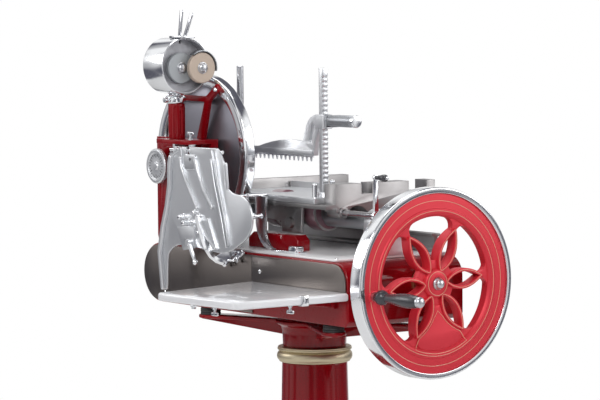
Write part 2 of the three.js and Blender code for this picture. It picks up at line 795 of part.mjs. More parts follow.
function windowOutline(index) {
  const steps = 7;
  const near = [];
  const far = [];
  for (let i = 0; i <= steps; i += 1) {
    const share = 1 - (1 - i / steps) ** 2;
    const radius = WINDOW_START + (RING_INNER - WINDOW_START) * share;
    const swing = Math.asin(Math.min(0.99, spokeHalfWidth(radius) / radius));
    near.push(onCircle(radius, petalAngle(index) + swing));
    far.push(onCircle(radius, petalAngle(index + 1) - swing));
  }
  const last = Math.asin(spokeHalfWidth(RING_INNER) / RING_INNER);
  const arc = arcPoints([0, 0], RING_INNER, petalAngle(index) + last, petalAngle(index + 1) - last, 4);
  return polygon([...near, ...arc.slice(1, -1), ...far.reverse()]);
}

function petalOutline(index, inset) {
  const steps = 8;
  const start = PETAL_ROOT + inset;
  const end = PETAL_TIP - inset;
  const side = (sign) => Array.from({ length: steps - 1 }, (_, i) => {
    const radius = start + (end - start) * (1 - Math.cos(Math.PI * (i + 1) / steps)) / 2;
    const half = Math.max(1, petalHalfWidth(radius) - inset);
    return onCircle(Math.hypot(radius, half), petalAngle(index) + sign * Math.atan2(half, radius));
  });
  return polygon([
    onCircle(start, petalAngle(index)),
    ...side(-1),
    onCircle(end, petalAngle(index)),
    ...side(1).reverse(),
  ]);
}

const handleAngle = THREE.MathUtils.degToRad(HANDLE_ANGLE);
const handleX = HANDLE_RADIUS * Math.cos(handleAngle);
const handleZ = HANDLE_RADIUS * Math.sin(handleAngle);

function flywheel() {
  const rimInner = WHEEL_RADIUS - RIM_WIDTH;
  const rim = ring('y', [
    [0, rimInner],
    [0, WHEEL_RADIUS - 2],
    [2, WHEEL_RADIUS],
    [WHEEL_DEPTH - 2, WHEEL_RADIUS],
    [WHEEL_DEPTH, WHEEL_RADIUS - 2],
    [WHEEL_DEPTH, rimInner - 3],
    [WHEEL_DEPTH - 18, rimInner - 8],
    [WHEEL_DEPTH - 18, BAND_INNER],
    [WHEEL_DEPTH - 10, BEAD_INNER],
    [WHEEL_DEPTH - 10, RING_INNER],
    [BAND_RECESS + 3, RING_INNER],
    [1, BEAD_INNER],
    [1, BAND_INNER - 2],
    [BAND_RECESS, BAND_INNER],
    [BAND_RECESS, rimInner - 2],
  ], HUGE);
  const disc = ring('y', [
    [WEB_FRONT, HUB_RADIUS - 4],
    [WEB_FRONT, RING_INNER + 4],
    [WEB_BACK, RING_INNER + 4],
    [WEB_BACK, HUB_RADIUS - 4],
  ], HUGE);
  let web = disc;
  for (let index = 0; index < PETAL_COUNT; index += 1) {
    if (index !== COUNTERWEIGHT_WINDOW) {
      web = web.subtract(slab('y', windowOutline(index), WEB_FRONT - THROUGH, WEB_BACK + THROUGH));
    }
  }
  const weight = slab('y', windowOutline(COUNTERWEIGHT_WINDOW), BAND_RECESS + 2, COUNTERWEIGHT_BACK);
  const hub = ring('y', [
    [HUB_FRONT, SHAFT_RADIUS - 2],
    [HUB_FRONT, HUB_RADIUS - 10],
    [HUB_FRONT + 3, HUB_RADIUS - 3],
    [HUB_FRONT + 12, HUB_RADIUS],
    [WEB_BACK + 6, HUB_RADIUS],
    [HUB_BACK, HUB_RADIUS - 7],
    [HUB_BACK, SHAFT_RADIUS - 2],
  ], LARGE);
  let body = join(rim, web, weight, hub);
  for (let index = 0; index < PETAL_COUNT; index += 1) {
    const rib = slab('y', petalOutline(index, 0), PETAL_FRONT, PETAL_BACK);
    body = body.add(rib);
  }
  for (let index = 0; index < PETAL_COUNT; index += 1) {
    const pocket = petalOutline(index, PETAL_RIB);
    body = body.subtract(slab('y', pocket, PETAL_FRONT - THROUGH, PETAL_BACK + THROUGH));
  }
  const boss = rod('y', 1, WHEEL_DEPTH - 6, HANDLE_BOSS).translate([handleX, 0, handleZ]);
  const pinHole = hole('y', -THROUGH, WHEEL_DEPTH, PIN_RADIUS + SEAT).translate([handleX, 0, handleZ]);
  const core = hole('y', HUB_FRONT - THROUGH, HUB_BACK + THROUGH, SHAFT_RADIUS + SEAT);
  return piece('flywheel', cut(body.add(hub).add(boss), pinHole, core), redEnamel);
}

function wheelShaft() {
  const end = KNIFE_Y - PINION_PITCH - 2;
  return piece('wheel_shaft', turned('y', [
    [HUB_FRONT - STUB_LENGTH, 0],
    [HUB_FRONT - STUB_LENGTH, STUB_RADIUS],
    [HUB_FRONT + 1, STUB_RADIUS],
    [HUB_FRONT + 1, SHAFT_RADIUS],
    [end - 2, SHAFT_RADIUS],
    [end, SHAFT_RADIUS - 2],
    [end, 0],
  ], 28), darkSteel);
}

function domeNut() {
  const face = HUB_FRONT - SEAT;
  const bore = STUB_RADIUS + SEAT;
  return piece('dome_nut', turned('y', [
    [face - STUB_LENGTH - 1, 0],
    [face - STUB_LENGTH - 1, bore],
    [face, bore],
    [face, NUT_RADIUS],
    [face - 5, NUT_RADIUS],
    [face - 10, NUT_RADIUS - 3],
    [face - NUT_LENGTH + 1, NUT_RADIUS - 8],
    [face - NUT_LENGTH, 0],
  ], MEDIUM), chrome);
}

function handle() {
  const place = [handleX, 0, handleZ];
  const rear = WHEEL_DEPTH - 6 + SEAT;
  const gripEnd = -GRIP_START - GRIP_LENGTH;
  const headFace = gripEnd - RUNNING;
  const pin = turned('y', [
    [rear + 6, 0],
    [rear + 6, PIN_RADIUS + 4],
    [rear, PIN_RADIUS + 4],
    [rear, PIN_RADIUS],
    [1 - SEAT, PIN_RADIUS],
    [1 - SEAT, HANDLE_BOSS - 3],
    [-GRIP_START + RUNNING, HANDLE_BOSS - 3],
    [-GRIP_START + RUNNING, PIN_RADIUS],
    [headFace, PIN_RADIUS],
    [headFace, CAP_RADIUS],
    [headFace - 5, CAP_RADIUS],
    [headFace - 10, CAP_RADIUS - 4],
    [headFace - CAP_LENGTH, 0],
  ], SMALL);
  const bore = PIN_RADIUS + RUNNING;
  const grip = ring('y', [
    [-GRIP_START, bore],
    [-GRIP_START, GRIP_NECK],
    [-GRIP_START - 6, GRIP_BALL - 3],
    [-GRIP_START - 16, GRIP_BALL],
    [-GRIP_START - 26, GRIP_BALL - 3],
    [-GRIP_START - 36, GRIP_NECK + 1],
    [-GRIP_START - 48, GRIP_NECK],
    [-GRIP_START - 66, GRIP_NECK + 2],
    [gripEnd + 46, GRIP_SWELL],
    [gripEnd + 18, GRIP_SWELL - 0.5],
    [gripEnd + 4, GRIP_SWELL - 3],
    [gripEnd, CAP_RADIUS - 1],
    [gripEnd, bore],
  ], SMALL);
  return [
    piece('handle_pin', pin, chrome, place),
    piece('handle_grip', grip, blackGrip, place),
  ];
}

// Drive: bevel gears in the base, a chain up to the knife
function bevelGear(axis, teeth, pitch, mate, bore, hubLength) {
  const slope = mate / pitch;
  const tip = pitch - 2 * RUNNING;
  const blank = ring(axis, [
    [-hubLength, bore],
    [-hubLength, bore + 9],
    [-GEAR_FACE / 2, bore + 9],
    [-GEAR_FACE / 2, tip - 3],
    [-1, tip],
    [(pitch - tip + GEAR_FACE) * slope - 1, tip - GEAR_FACE],
    [0, bore + 4],
    [0, bore],
  ], teeth);
  const outline = toothedOutline(teeth, tip + 1, tip - TOOTH_DEPTH);
  const length = hubLength + GEAR_FACE;
  const round = slab(axis, outline, -length, length);
  return blank.intersect(round);
}

function drive() {
  const gear = bevelGear('y', GEAR_TEETH, GEAR_PITCH, PINION_PITCH, SHAFT_RADIUS + SEAT, 22);
  const pinion = bevelGear('x', PINION_TEETH, PINION_PITCH, GEAR_PITCH, CROSS_SHAFT_RADIUS - 2, 16);
  const gearY = KNIFE_Y - PINION_PITCH - 1;
  const shaftEnd = -GEAR_PITCH + 2;
  const crossShaft = turned('x', [
    [CROSS_SHAFT_LEFT - 1, 0],
    [CROSS_SHAFT_LEFT - 1, CROSS_SHAFT_RADIUS],
    [shaftEnd, CROSS_SHAFT_RADIUS],
    [shaftEnd, 0],
  ], SMALL);
  const sprocket = driveSprocket(DRIVE_SPROCKET, 18, CROSS_SHAFT_RADIUS + SEAT);
  return [
    piece('bevel_gear', gear, darkSteel, [0, gearY, 0]),
    piece('pinion_shaft', crossShaft.add(pinion.translate([-GEAR_PITCH - 1, 0, 0])), darkSteel,
      [0, KNIFE_Y, 0]),
    piece('drive_sprocket', sprocket, darkSteel, [CHAIN_PLANE, KNIFE_Y, 0]),
  ];
}

function driveSprocket(radius, teeth, bore) {
  const half = CHAIN_WIDTH / 2;
  const disc = slab('x', toothedOutline(teeth, radius, radius - 3), -half, half);
  return cut(disc, hole('x', -half - THROUGH, half + THROUGH, bore));
}

function chain() {
  const rise = KNIFE_Z;
  const lean = Math.asin((DRIVE_SPROCKET - KNIFE_SPROCKET) / rise);
  const loop = (extra, notch) => {
    const low = DRIVE_SPROCKET + extra;
    const high = KNIFE_SPROCKET + extra;
    const straight = Math.sqrt(rise ** 2 - (low - high) ** 2);
    const runs = Math.round(straight / (2 * LINK_PITCH));
    const points = [];
    const side = (sign) => {
      const normal = [sign * Math.cos(lean), Math.sin(lean)];
      const a = [low * normal[0], low * normal[1]];
      const b = [high * normal[0], rise + high * normal[1]];
      return Array.from({ length: 2 * runs + 1 }, (_, i) => {
        const share = i / (2 * runs);
        const dip = i % 2 ? notch : 0;
        return [0, 1].map((k) => a[k] + (b[k] - a[k]) * share - dip * normal[k]);
      });
    };
    points.push(...side(1));
    points.push(...arcPoints([0, rise], high, lean, Math.PI - lean, 7).slice(1, -1));
    points.push(...side(-1).reverse());
    points.push(...arcPoints([0, 0], low, Math.PI - lean, 2 * Math.PI + lean, 9).slice(1, -1));
    return points;
  };
  const half = CHAIN_WIDTH / 2;
  const outer = slab('x', polygon(loop(CHAIN_DEPTH, 1.2)), -half, half);
  const inner = slab('x', polygon(loop(CHAIN_GAP, 0)), -half - THROUGH, half + THROUGH);
  return piece('drive_chain', outer.subtract(inner), darkSteel, [CHAIN_PLANE, KNIFE_Y, 0]);
}

// Knife, guard and shaft, about the knife's axis
function knifeGroup() {
  const edge = KNIFE_EDGE_X;
  const hubFace = edge - KNIFE_DISH;
  const bore = KNIFE_SHAFT_RADIUS + SEAT;
  const knife = ring('x', [
    [hubFace, bore],
    [hubFace, KNIFE_HUB],
    [edge - 2, KNIFE_RADIUS * 0.86],
    [edge, KNIFE_RADIUS],
    [edge - 5, KNIFE_RADIUS - 11],
    [hubFace - KNIFE_THICKNESS + 4, KNIFE_RADIUS * 0.6],
    [hubFace - KNIFE_THICKNESS, KNIFE_HUB],
    [hubFace - KNIFE_THICKNESS, bore],
  ], HUGE);
  const flangeRight = hubFace - KNIFE_THICKNESS - SEAT;
  const flangeLeft = FRAME_RIGHT + RUNNING;
  const nutFace = hubFace + SEAT;
  const shaft = turned('x', [
    [FRAME_LEFT - FRAME_BOSS_REACH - 4, 0],
    [FRAME_LEFT - FRAME_BOSS_REACH - 4, KNIFE_SHAFT_RADIUS],
    [flangeLeft, KNIFE_SHAFT_RADIUS],
    [flangeLeft, KNIFE_HUB - 6],
    [flangeRight, KNIFE_HUB - 6],
    [flangeRight, KNIFE_SHAFT_RADIUS],
    [nutFace + 6, KNIFE_SHAFT_RADIUS],
    [nutFace + 6, 0],
  ], MEDIUM);
  const nut = turned('x', [
    [nutFace + 7, 0],
    [nutFace + 7, bore],
    [nutFace, bore],
    [nutFace, KNIFE_SHAFT_RADIUS + 14],
    [nutFace + 5, KNIFE_SHAFT_RADIUS + 13],
    [nutFace + 10, KNIFE_SHAFT_RADIUS + 3],
    [nutFace + 10.5, 0],
  ], MEDIUM);
  const guard = ring('x', [
    [GUARD_LEFT, GUARD_RADIUS - GUARD_LIP],
    [GUARD_LEFT, GUARD_RADIUS - 4],
    [GUARD_LEFT + 4, GUARD_RADIUS],
    [GUARD_RIGHT - 3, GUARD_RADIUS],
    [GUARD_RIGHT, GUARD_RADIUS - 3],
    [GUARD_RIGHT, GUARD_RADIUS - 6],
    [GUARD_RIGHT - 5, GUARD_RADIUS - GUARD_WALL],
    [GUARD_LEFT + GUARD_WALL + 2, GUARD_RADIUS - GUARD_WALL],
    [GUARD_LEFT + GUARD_WALL, GUARD_RADIUS - GUARD_LIP],
  ], HUGE);
  const sprocket = driveSprocket(KNIFE_SPROCKET, 12, KNIFE_SHAFT_RADIUS - 2);
  const group = new THREE.Group();
  group.position.set(0, KNIFE_Y, KNIFE_Z);
  group.add(
    piece('knife', knife, polishedSteel),
    piece('knife_shaft', shaft.add(sprocket.translate([CHAIN_PLANE, 0, 0])), darkSteel),
    piece('knife_nut', nut, chrome),
    piece('knife_guard', guard, chrome),
  );
  return group;
}

// Knife frame: leg, top band, chain spine and bearing boss in one casting
function knifeFrame() {
  const near = FRAME_NEAR_Y;
  const far = FRAME_FAR_Y;
  const low = FRAME_BOTTOM;
  const top = FRAME_TOP_Z;
  const windowTop = top - FRAME_BAND;
  const spineNear = KNIFE_Y - FRAME_SPINE_HALF - 4;
  const plate = slab('x', polygon([
    [spineNear, low],
    [far - 6, low],
    [far, low + 20],
    [far, top],
    [near, top],
    [near, windowTop],
    [spineNear, windowTop - 20],
  ]), FRAME_LEFT, FRAME_RIGHT);
  const windowLow = low + 26;
  const windowNear = KNIFE_Y + FRAME_SPINE_HALF + 12;
  const farWindow = slab('x', roundedBox(windowNear, far - FRAME_LEG, windowLow, windowTop, 14),
    FRAME_LEFT - THROUGH, FRAME_RIGHT + THROUGH, 0, 3);
  const boss = rod('x', FRAME_LEFT - FRAME_BOSS_REACH, FRAME_RIGHT, FRAME_BOSS_RADIUS, MEDIUM)
    .translate([0, KNIFE_Y, KNIFE_Z]);
  const bossRoom = block(CHAIN_PLANE - CHAIN_WIDTH, FRAME_RIGHT + THROUGH, KNIFE_Y - FRAME_BOSS_RADIUS - 2,
    KNIFE_Y + FRAME_BOSS_RADIUS + 2, KNIFE_Z - FRAME_BOSS_RADIUS, KNIFE_Z + KNIFE_SPROCKET + CHAIN_DEPTH + 3);
  const chainCase = block(CHAIN_PLANE - CHAIN_WIDTH, FRAME_RIGHT + THROUGH, KNIFE_Y - CHAIN_SLOT_HALF + 4,
    KNIFE_Y + CHAIN_SLOT_HALF - 4, low - THROUGH, KNIFE_Z);
  const shaftHole = hole('x', FRAME_LEFT - FRAME_BOSS_REACH - THROUGH, FRAME_RIGHT + THROUGH,
    KNIFE_SHAFT_RADIUS + RUNNING).translate([0, KNIFE_Y, KNIFE_Z]);
  const shelf = block(FRAME_LEFT - SHELF_REACH, FRAME_RIGHT, near, SHELF_FAR_Y, SHELF_Z, top);
  const crossRib = slab('x', polygon([
    [spineNear + 14, low + 60],
    [spineNear + 34, low + 60],
    [spineNear + 26, SHELF_Z + 2],
    [spineNear - 12, SHELF_Z + 2],
  ]), FRAME_LEFT - 12, FRAME_LEFT + 2);
  const body = join(plate, boss, shelf, crossRib);
  const dialHole = hole('x', FRAME_LEFT - THROUGH, FRAME_RIGHT + THROUGH, DIAL_SPINDLE + RUNNING)
    .translate([0, DIAL_Y, DIAL_Z]);
  return piece('knife_frame', cut(body, farWindow, bossRoom, chainCase, shaftHole, dialHole), redEnamel);
}

// The guard's fork stands on the frame and reaches the ring at two places
function guardFork() {
  const left = FRAME_RIGHT - FORK_THICKNESS;
  const foot = FRAME_TOP_Z + SEAT;
  const half = FORK_WIDTH / 2;
  const knot = [KNIFE_Y + FORK_KNOT[0], KNIFE_Z + FORK_KNOT[1]];
  const limb = (from, to, width) => {
    const along = new THREE.Vector2(to[0] - from[0], to[1] - from[1]).normalize().multiplyScalar(width / 2);
    return slab('x', polygon([
      [from[0] - along.y, from[1] + along.x],
      [from[0] + along.y, from[1] - along.x],
      [to[0] + along.y, to[1] - along.x],
      [to[0] - along.y, to[1] + along.x],
    ]), left, FRAME_RIGHT);
  };
  const ringAt = (degrees, inset) => {
    const angle = THREE.MathUtils.degToRad(degrees);
    const reach = GUARD_RADIUS - inset;
    return [KNIFE_Y + reach * Math.cos(angle), KNIFE_Z + reach * Math.sin(angle)];
  };
  const stem = slab('x', polygon([
    [KNIFE_Y - 30, foot],
    [KNIFE_Y - 2, foot],
    [knot[0] + half + 2, knot[1]],
    [knot[0] - half, knot[1]],
  ]), left, FRAME_RIGHT);
  const nearLimb = limb(knot, ringAt(FORK_NEAR_ANGLE, 4), FORK_WIDTH);
  const farLimb = limb(knot, ringAt(FORK_FAR_ANGLE, 14), FORK_WIDTH - 3);
  const knob = rod('x', left, FRAME_RIGHT, half + 1).translate([0, ...knot]);
  const pads = [FORK_NEAR_ANGLE, FORK_FAR_ANGLE].map((angle) => rod('x', left, GUARD_LEFT - SEAT, 8)
    .translate([0, ...ringAt(angle, 12)]));
  return piece('guard_fork', join(stem, nearLimb, farLimb, knob, ...pads), redEnamel);
}

// Deflector: a ribbed plate hanging from a rod, its lower edge flared over the tray
const rodZ = SHELF_Z - ROD_DROP;

function deflector() {
  const x = DEFLECTOR_X;
  const outline = new THREE.Shape();
  outline.moveTo(478, rodZ);
  outline.lineTo(660, rodZ);
  outline.absarc(666, rodZ - 30, 30, Math.PI / 2, 0, true);
  outline.lineTo(698, 198);
  outline.lineTo(728, 101);
  outline.lineTo(744, 40);
  outline.lineTo(730, -50);
  outline.lineTo(714, -50);
  outline.lineTo(708, 30);
  outline.quadraticCurveTo(690, 60, 640, 62);
  outline.lineTo(560, 58);
  outline.lineTo(486, 52);
  outline.quadraticCurveTo(440, 50, 400, 74);
  outline.quadraticCurveTo(350, 96, 344, 130);
  outline.quadraticCurveTo(344, 178, 392, 190);
  outline.quadraticCurveTo(444, 192, 453, 215);
  outline.lineTo(457, 262);
  outline.quadraticCurveTo(460, rodZ, 478, rodZ);
  const plate = slab('x', outline, x, x + DEFLECTOR_THICKNESS, 0, 5);
  const ribOf = (a, b, width) => {
    const along = new THREE.Vector2(b[0] - a[0], b[1] - a[1]).normalize().multiplyScalar(width / 2);
    return slab('x', polygon([
      [a[0] - along.y, a[1] + along.x],
      [a[0] + along.y, a[1] - along.x],
      [b[0] + along.y, b[1] - along.x],
      [b[0] - along.y, b[1] + along.x],
    ]), x - DEFLECTOR_RIB, x + 1);
  };
  const ribs = [
    ribOf([650, 272], [570, 156], 9),
    ribOf([561, 238], [505, 156], 9),
    ribOf([497, 272], [441, 71], 12),
    ribOf([548, 118], [490, 60], 8),
  ];
  const pad = slab('x', roundedBox(569, 616, 240, 276, 10), x - DEFLECTOR_RIB + 2, x + 1, 0, 3);
  const rimLine = [[696, 270], [698, 198], [728, 101], [744, 40], [730, -50]];
  const rimBack = rimLine.map(([y, z]) => [y - 14, z]).reverse();
  const rim = slab('x', polygon([...rimLine, ...rimBack]), x - DEFLECTOR_RIB - 2, x + 1);
  const lugOutline = roundedBox(x, x + 16, rodZ - 9, rodZ + ROD_RADIUS + 4, 3);
  const lugs = LUG_Y.map((y) => slab('y', lugOutline, y, y + LUG_WIDTH, 0, 2));
  const body = join(plate, ...ribs, pad, rim, ...lugs);
  const rodHole = hole('y', ROD_NEAR_Y - THROUGH, ROD_FAR_Y + THROUGH, ROD_RADIUS + RUNNING)
    .translate([x + 9, 0, rodZ]);
  const padHole = hole('x', x - 2 * THROUGH, x + 2 * THROUGH, 4).translate([0, 589, 264]);
  const hangerRoom = HANGER_Y.map((y) => block(x - THROUGH, x + DEFLECTOR_THICKNESS + 1, y - 3,
    y + HANGER_WIDTH + 3, rodZ - 8, rodZ + THROUGH));
  return piece('deflector', cut(body, rodHole, padHole, ...hangerRoom), castAluminium);
}

function deflectorRod() {
  const x = DEFLECTOR_X + 9;
  const bar = rod('y', ROD_NEAR_Y, ROD_FAR_Y, ROD_RADIUS).translate([x, 0, rodZ]);
  const hangers = HANGER_Y.map((y) => slab('y', polygon([
    [x - 3.4, rodZ - 6],
    [x + 6, rodZ - 6],
    [x + 9, SHELF_Z - SEAT],
    [x - 3.4, SHELF_Z - SEAT],
  ]), y, y + HANGER_WIDTH));
  return piece('deflector_rod', join(bar, ...hangers), chrome);
}

function deflectorScrew() {
  const low = FRAME_TOP_Z + SEAT;
  const stem = turned('z', [
    [low, 0],
    [low, 7],
    [low + 4, 7],
    [low + 5, 3.5],
    [low + 14, 3.5],
    [low + 14, 0],
  ], TINY);
  const wing = slab('x', roundedBox(-13, 13, low + 12, low + 19, 3), -2.5, 2.5, 0, 2);
  return piece('deflector_thumbscrew', stem.add(wing), chrome, [DEFLECTOR_X + 9, THUMBSCREW_Y, 0]);
}

// Slice thickness dial on its spindle
function thicknessDial() {
  const right = FRAME_LEFT - DIAL_STAND_OFF + DIAL_THICKNESS;
  const left = right - DIAL_THICKNESS;
  const dial = turned('x', [
    [FRAME_RIGHT - 2, 0],
    [FRAME_RIGHT - 2, DIAL_SPINDLE],
    [right, DIAL_SPINDLE],
    [right, DIAL_RADIUS - 2],
    [right - 2, DIAL_RADIUS],
    [left + 3, DIAL_RADIUS],
    [left, DIAL_RADIUS - 3],
    [left, DIAL_RADIUS - 10],
    [left + 2.5, DIAL_RADIUS - 12],
    [left + 2.5, 9],
    [left - 1, 7],
    [left - 1, 0],
  ], LARGE);
  return piece('thickness_dial', dial, castAluminium, [0, DIAL_Y, DIAL_Z]);
}

// Sharpener: a drum with two stones on a post that lifts and turns in the fluted pillar
function sharpenerPillar() {
  const profile = circle(0, 0, PILLAR_RADIUS);
  let pillar = slab('z', profile, PILLAR_Z, PILLAR_Z + PILLAR_HEIGHT, 0, 14);
  for (let flute = 0; flute < FLUTE_COUNT; flute += 1) {
    const angle = 2 * Math.PI * flute / FLUTE_COUNT;
    const groove = rod('z', PILLAR_Z + 8, PILLAR_Z + PILLAR_HEIGHT - 6, FLUTE_RADIUS, 12)
      .translate([(PILLAR_RADIUS + 2) * Math.cos(angle), (PILLAR_RADIUS + 2) * Math.sin(angle), 0]);
    pillar = pillar.subtract(groove);
  }
  const bore = hole('z', PILLAR_Z - THROUGH, PILLAR_Z + PILLAR_HEIGHT + THROUGH, POST_RADIUS + RUNNING);
  return piece('sharpener_pillar', pillar.subtract(bore), redEnamel, [POST_X, POST_Y, 0]);
}

function sharpenerCollar() {
  const bore = POST_RADIUS + RUNNING;
  const collar = ring('z', [
    [COLLAR_Z, bore],
    [COLLAR_Z, COLLAR_RADIUS - 2],
    [COLLAR_Z + 3, COLLAR_RADIUS],
    [COLLAR_Z + COLLAR_HEIGHT - 4, COLLAR_RADIUS],
    [COLLAR_Z + COLLAR_HEIGHT, COLLAR_RADIUS - 5],
    [COLLAR_Z + COLLAR_HEIGHT, bore],
  ], MEDIUM);
  const screwPlace = [0, 0, COLLAR_Z + COLLAR_HEIGHT / 2];
  const boss = rod('y', COLLAR_RADIUS - 4, COLLAR_RADIUS + 6, 6).translate(screwPlace);
  const head = rod('y', COLLAR_RADIUS + 6, COLLAR_RADIUS + 14, 8).translate(screwPlace);
  return piece('sharpener_collar', join(collar, boss, head), chrome, [POST_X, POST_Y, 0]);
}

const drumDX = DRUM_X - POST_X;
const drumFront = DRUM_FRONT - POST_Y;
const drumBack = DRUM_BACK - POST_Y;

function sharpenerDrum() {
  const shell = turned('y', [
    [drumBack - DRUM_WALL - 8, 0],
    [drumBack - DRUM_WALL - 6, DRUM_RADIUS * 0.6],
    [drumBack - DRUM_WALL - 16, DRUM_RADIUS - DRUM_WALL],
    [drumFront, DRUM_RADIUS - DRUM_WALL],
    [drumFront - DRUM_LIP, DRUM_RADIUS - 2],
    [drumFront, DRUM_RADIUS],
    [drumBack - 18, DRUM_RADIUS],
    [drumBack - 6, DRUM_RADIUS * 0.82],
    [drumBack, DRUM_RADIUS * 0.5],
    [drumBack + 2, 0],
  ], LARGE);
  const bridge = block(-DRUM_RADIUS + 2, DRUM_RADIUS - 2, drumFront + 34, drumFront + 44, -16, 16);
  const stonePlaces = [GREY_STONE_X, TAN_STONE_X];
  const hangers = stonePlaces.map((x) => rod('y', drumFront + 26, drumFront + 44, 13)
    .translate([x, 0, -STONE_DROP]));
  const padTop = DRUM_RADIUS + 4;
  const pad = block(-20, 20, LEVER_Y[0] - 14, LEVER_Y[1] + 14, DRUM_RADIUS - 6, padTop);
  const slotHalf = LEVER_THICKNESS / 2 + RUNNING;
  const slot = block(-slotHalf, slotHalf, LEVER_Y[0] - LEVER_ROOM, LEVER_Y[1] + LEVER_ROOM,
    DRUM_RADIUS - 14, padTop + THROUGH);
  const boreRadius = SPINDLE_RADIUS + RUNNING;
  const bores = stonePlaces.map((x) => hole('y', drumFront, drumFront + 60, boreRadius)
    .translate([x, 0, -STONE_DROP]));
  const socket = rod('z', -DRUM_RADIUS - 4, -DRUM_RADIUS + 8, POST_RADIUS + 8)
    .translate([-drumDX, 0, 0]);
  const postHole = hole('z', -DRUM_RADIUS - 20, -DRUM_RADIUS + 4, POST_RADIUS + RUNNING)
    .translate([-drumDX, 0, 0]);
  const body = cut(join(shell, bridge, ...hangers, pad, socket), ...bores, slot, postHole);
  return piece('sharpener_drum', body, chrome, [drumDX, 0, DRUM_Z]);
}

function stone(name, radius, material, x, front) {
  const back = front + STONE_THICKNESS;
  const spindleEnd = drumFront + 56;
  const wheel = turned('y', [
    [spindleEnd, 0],
    [spindleEnd, SPINDLE_RADIUS],
    [back, SPINDLE_RADIUS],
    [back, radius - 1],
    [back - 2, radius],
    [front + 2, radius],
    [front, radius - 2],
    [front, 12],
    [front - 5, 11],
    [front - 8, 6],
    [front - 9, 0],
  ], MEDIUM);
  return piece(name, wheel, material, [x, 0, DRUM_Z - STONE_DROP]);
}

function sharpenerPost() {
  const post = rod('z', PILLAR_Z + 12, DRUM_Z - DRUM_RADIUS + 3, POST_RADIUS);
  return piece('sharpener_post', post, polishedSteel);
}

function stoneLever(name, y, lean) {
  const half = LEVER_WIDTH / 2;
  const thick = LEVER_THICKNESS / 2;
  const bar = slab('x', roundedBox(-half, half, -half, LEVER_LENGTH, half - 0.5), -thick, thick, 0, 3);
  const place = [drumDX, y, DRUM_Z + DRUM_RADIUS];
  return piece(name, bar.rotate([lean, 0, 0]), polishedSteel, place);
}

function sharpener() {
  const group = new THREE.Group();
  group.position.set(POST_X, POST_Y, 0);
  group.add(
    sharpenerPost(),
    sharpenerDrum(),
    stone('grinding_stone', GREY_STONE_RADIUS, greyStone, drumDX + GREY_STONE_X, drumFront + 6),
    stone('truing_stone', TAN_STONE_RADIUS, tanStone, drumDX + TAN_STONE_X,
      drumFront - DRUM_LIP - STONE_THICKNESS - 1.5),
    stoneLever('stone_lever_front', LEVER_Y[0], FRONT_LEVER_LEAN),
    stoneLever('stone_lever_rear', LEVER_Y[1], REAR_LEVER_LEAN),
  );
  return [sharpenerPillar(), sharpenerCollar(), group];
}

// Rail, its supports and the flat track on the right
function railSupport(name, low) {
  const outline = new THREE.Shape();
  outline.moveTo(SUPPORT_LEFT, PLATE_TOP + SEAT);
  outline.lineTo(SUPPORT_RIGHT, PLATE_TOP + SEAT);
  outline.lineTo(SUPPORT_RIGHT, PLATE_TOP + 14);
  outline.quadraticCurveTo(RAIL_X + SUPPORT_CROWN + 8, PLATE_TOP + 22, RAIL_X + SUPPORT_CROWN, RAIL_Z);
  outline.absarc(RAIL_X, RAIL_Z, SUPPORT_CROWN, 0, Math.PI, false);
  outline.quadraticCurveTo(RAIL_X - SUPPORT_CROWN - 2, PLATE_TOP + 30, SUPPORT_LEFT, PLATE_TOP + 14);
  const body = slab('y', outline, low, low + SUPPORT_DEPTH, 0, 8);
  const bore = hole('y', low - THROUGH, low + SUPPORT_DEPTH + THROUGH, RAIL_RADIUS + SEAT)
    .translate([RAIL_X, 0, RAIL_Z]);
  return piece(name, body.subtract(bore), castAluminium);
}

function rails() {
  const rail = turned('y', [
    [RAIL_FRONT, 0],
    [RAIL_FRONT, RAIL_RADIUS - 3],
    [RAIL_FRONT + 3, RAIL_RADIUS],
    [RAIL_BACK - 3, RAIL_RADIUS],
    [RAIL_BACK, RAIL_RADIUS - 3],
    [RAIL_BACK, 0],
  ], MEDIUM);
  const low = PLATE_TOP + SEAT;
  const webHalf = 5;
  const section = polygon([
    [TRACK_X - TRACK_WIDTH / 2, low],
    [TRACK_X + TRACK_WIDTH / 2, low],
    [TRACK_X + TRACK_WIDTH / 2, low + 8],
    [TRACK_X + webHalf, low + 12],
    [TRACK_X + webHalf, TRACK_TOP - 8],
    [TRACK_X + TRACK_WIDTH / 2, TRACK_TOP - 6],
    [TRACK_X + TRACK_WIDTH / 2, TRACK_TOP],
    [TRACK_X - TRACK_WIDTH / 2, TRACK_TOP],
    [TRACK_X - TRACK_WIDTH / 2, TRACK_TOP - 6],
    [TRACK_X - webHalf, TRACK_TOP - 8],
    [TRACK_X - webHalf, low + 12],
    [TRACK_X - TRACK_WIDTH / 2, low + 8],
  ]);
  return [
    piece('round_rail', rail, darkSteel, [RAIL_X, 0, RAIL_Z]),
    piece('flat_track', slab('y', section, TOP_PLATE_FRONT + 12, TOP_PLATE_BACK - 26), castAluminium),
    railSupport('rail_support_front', SUPPORT_FRONT_Y),
    railSupport('rail_support_rear', SUPPORT_BACK_Y),
  ];
}

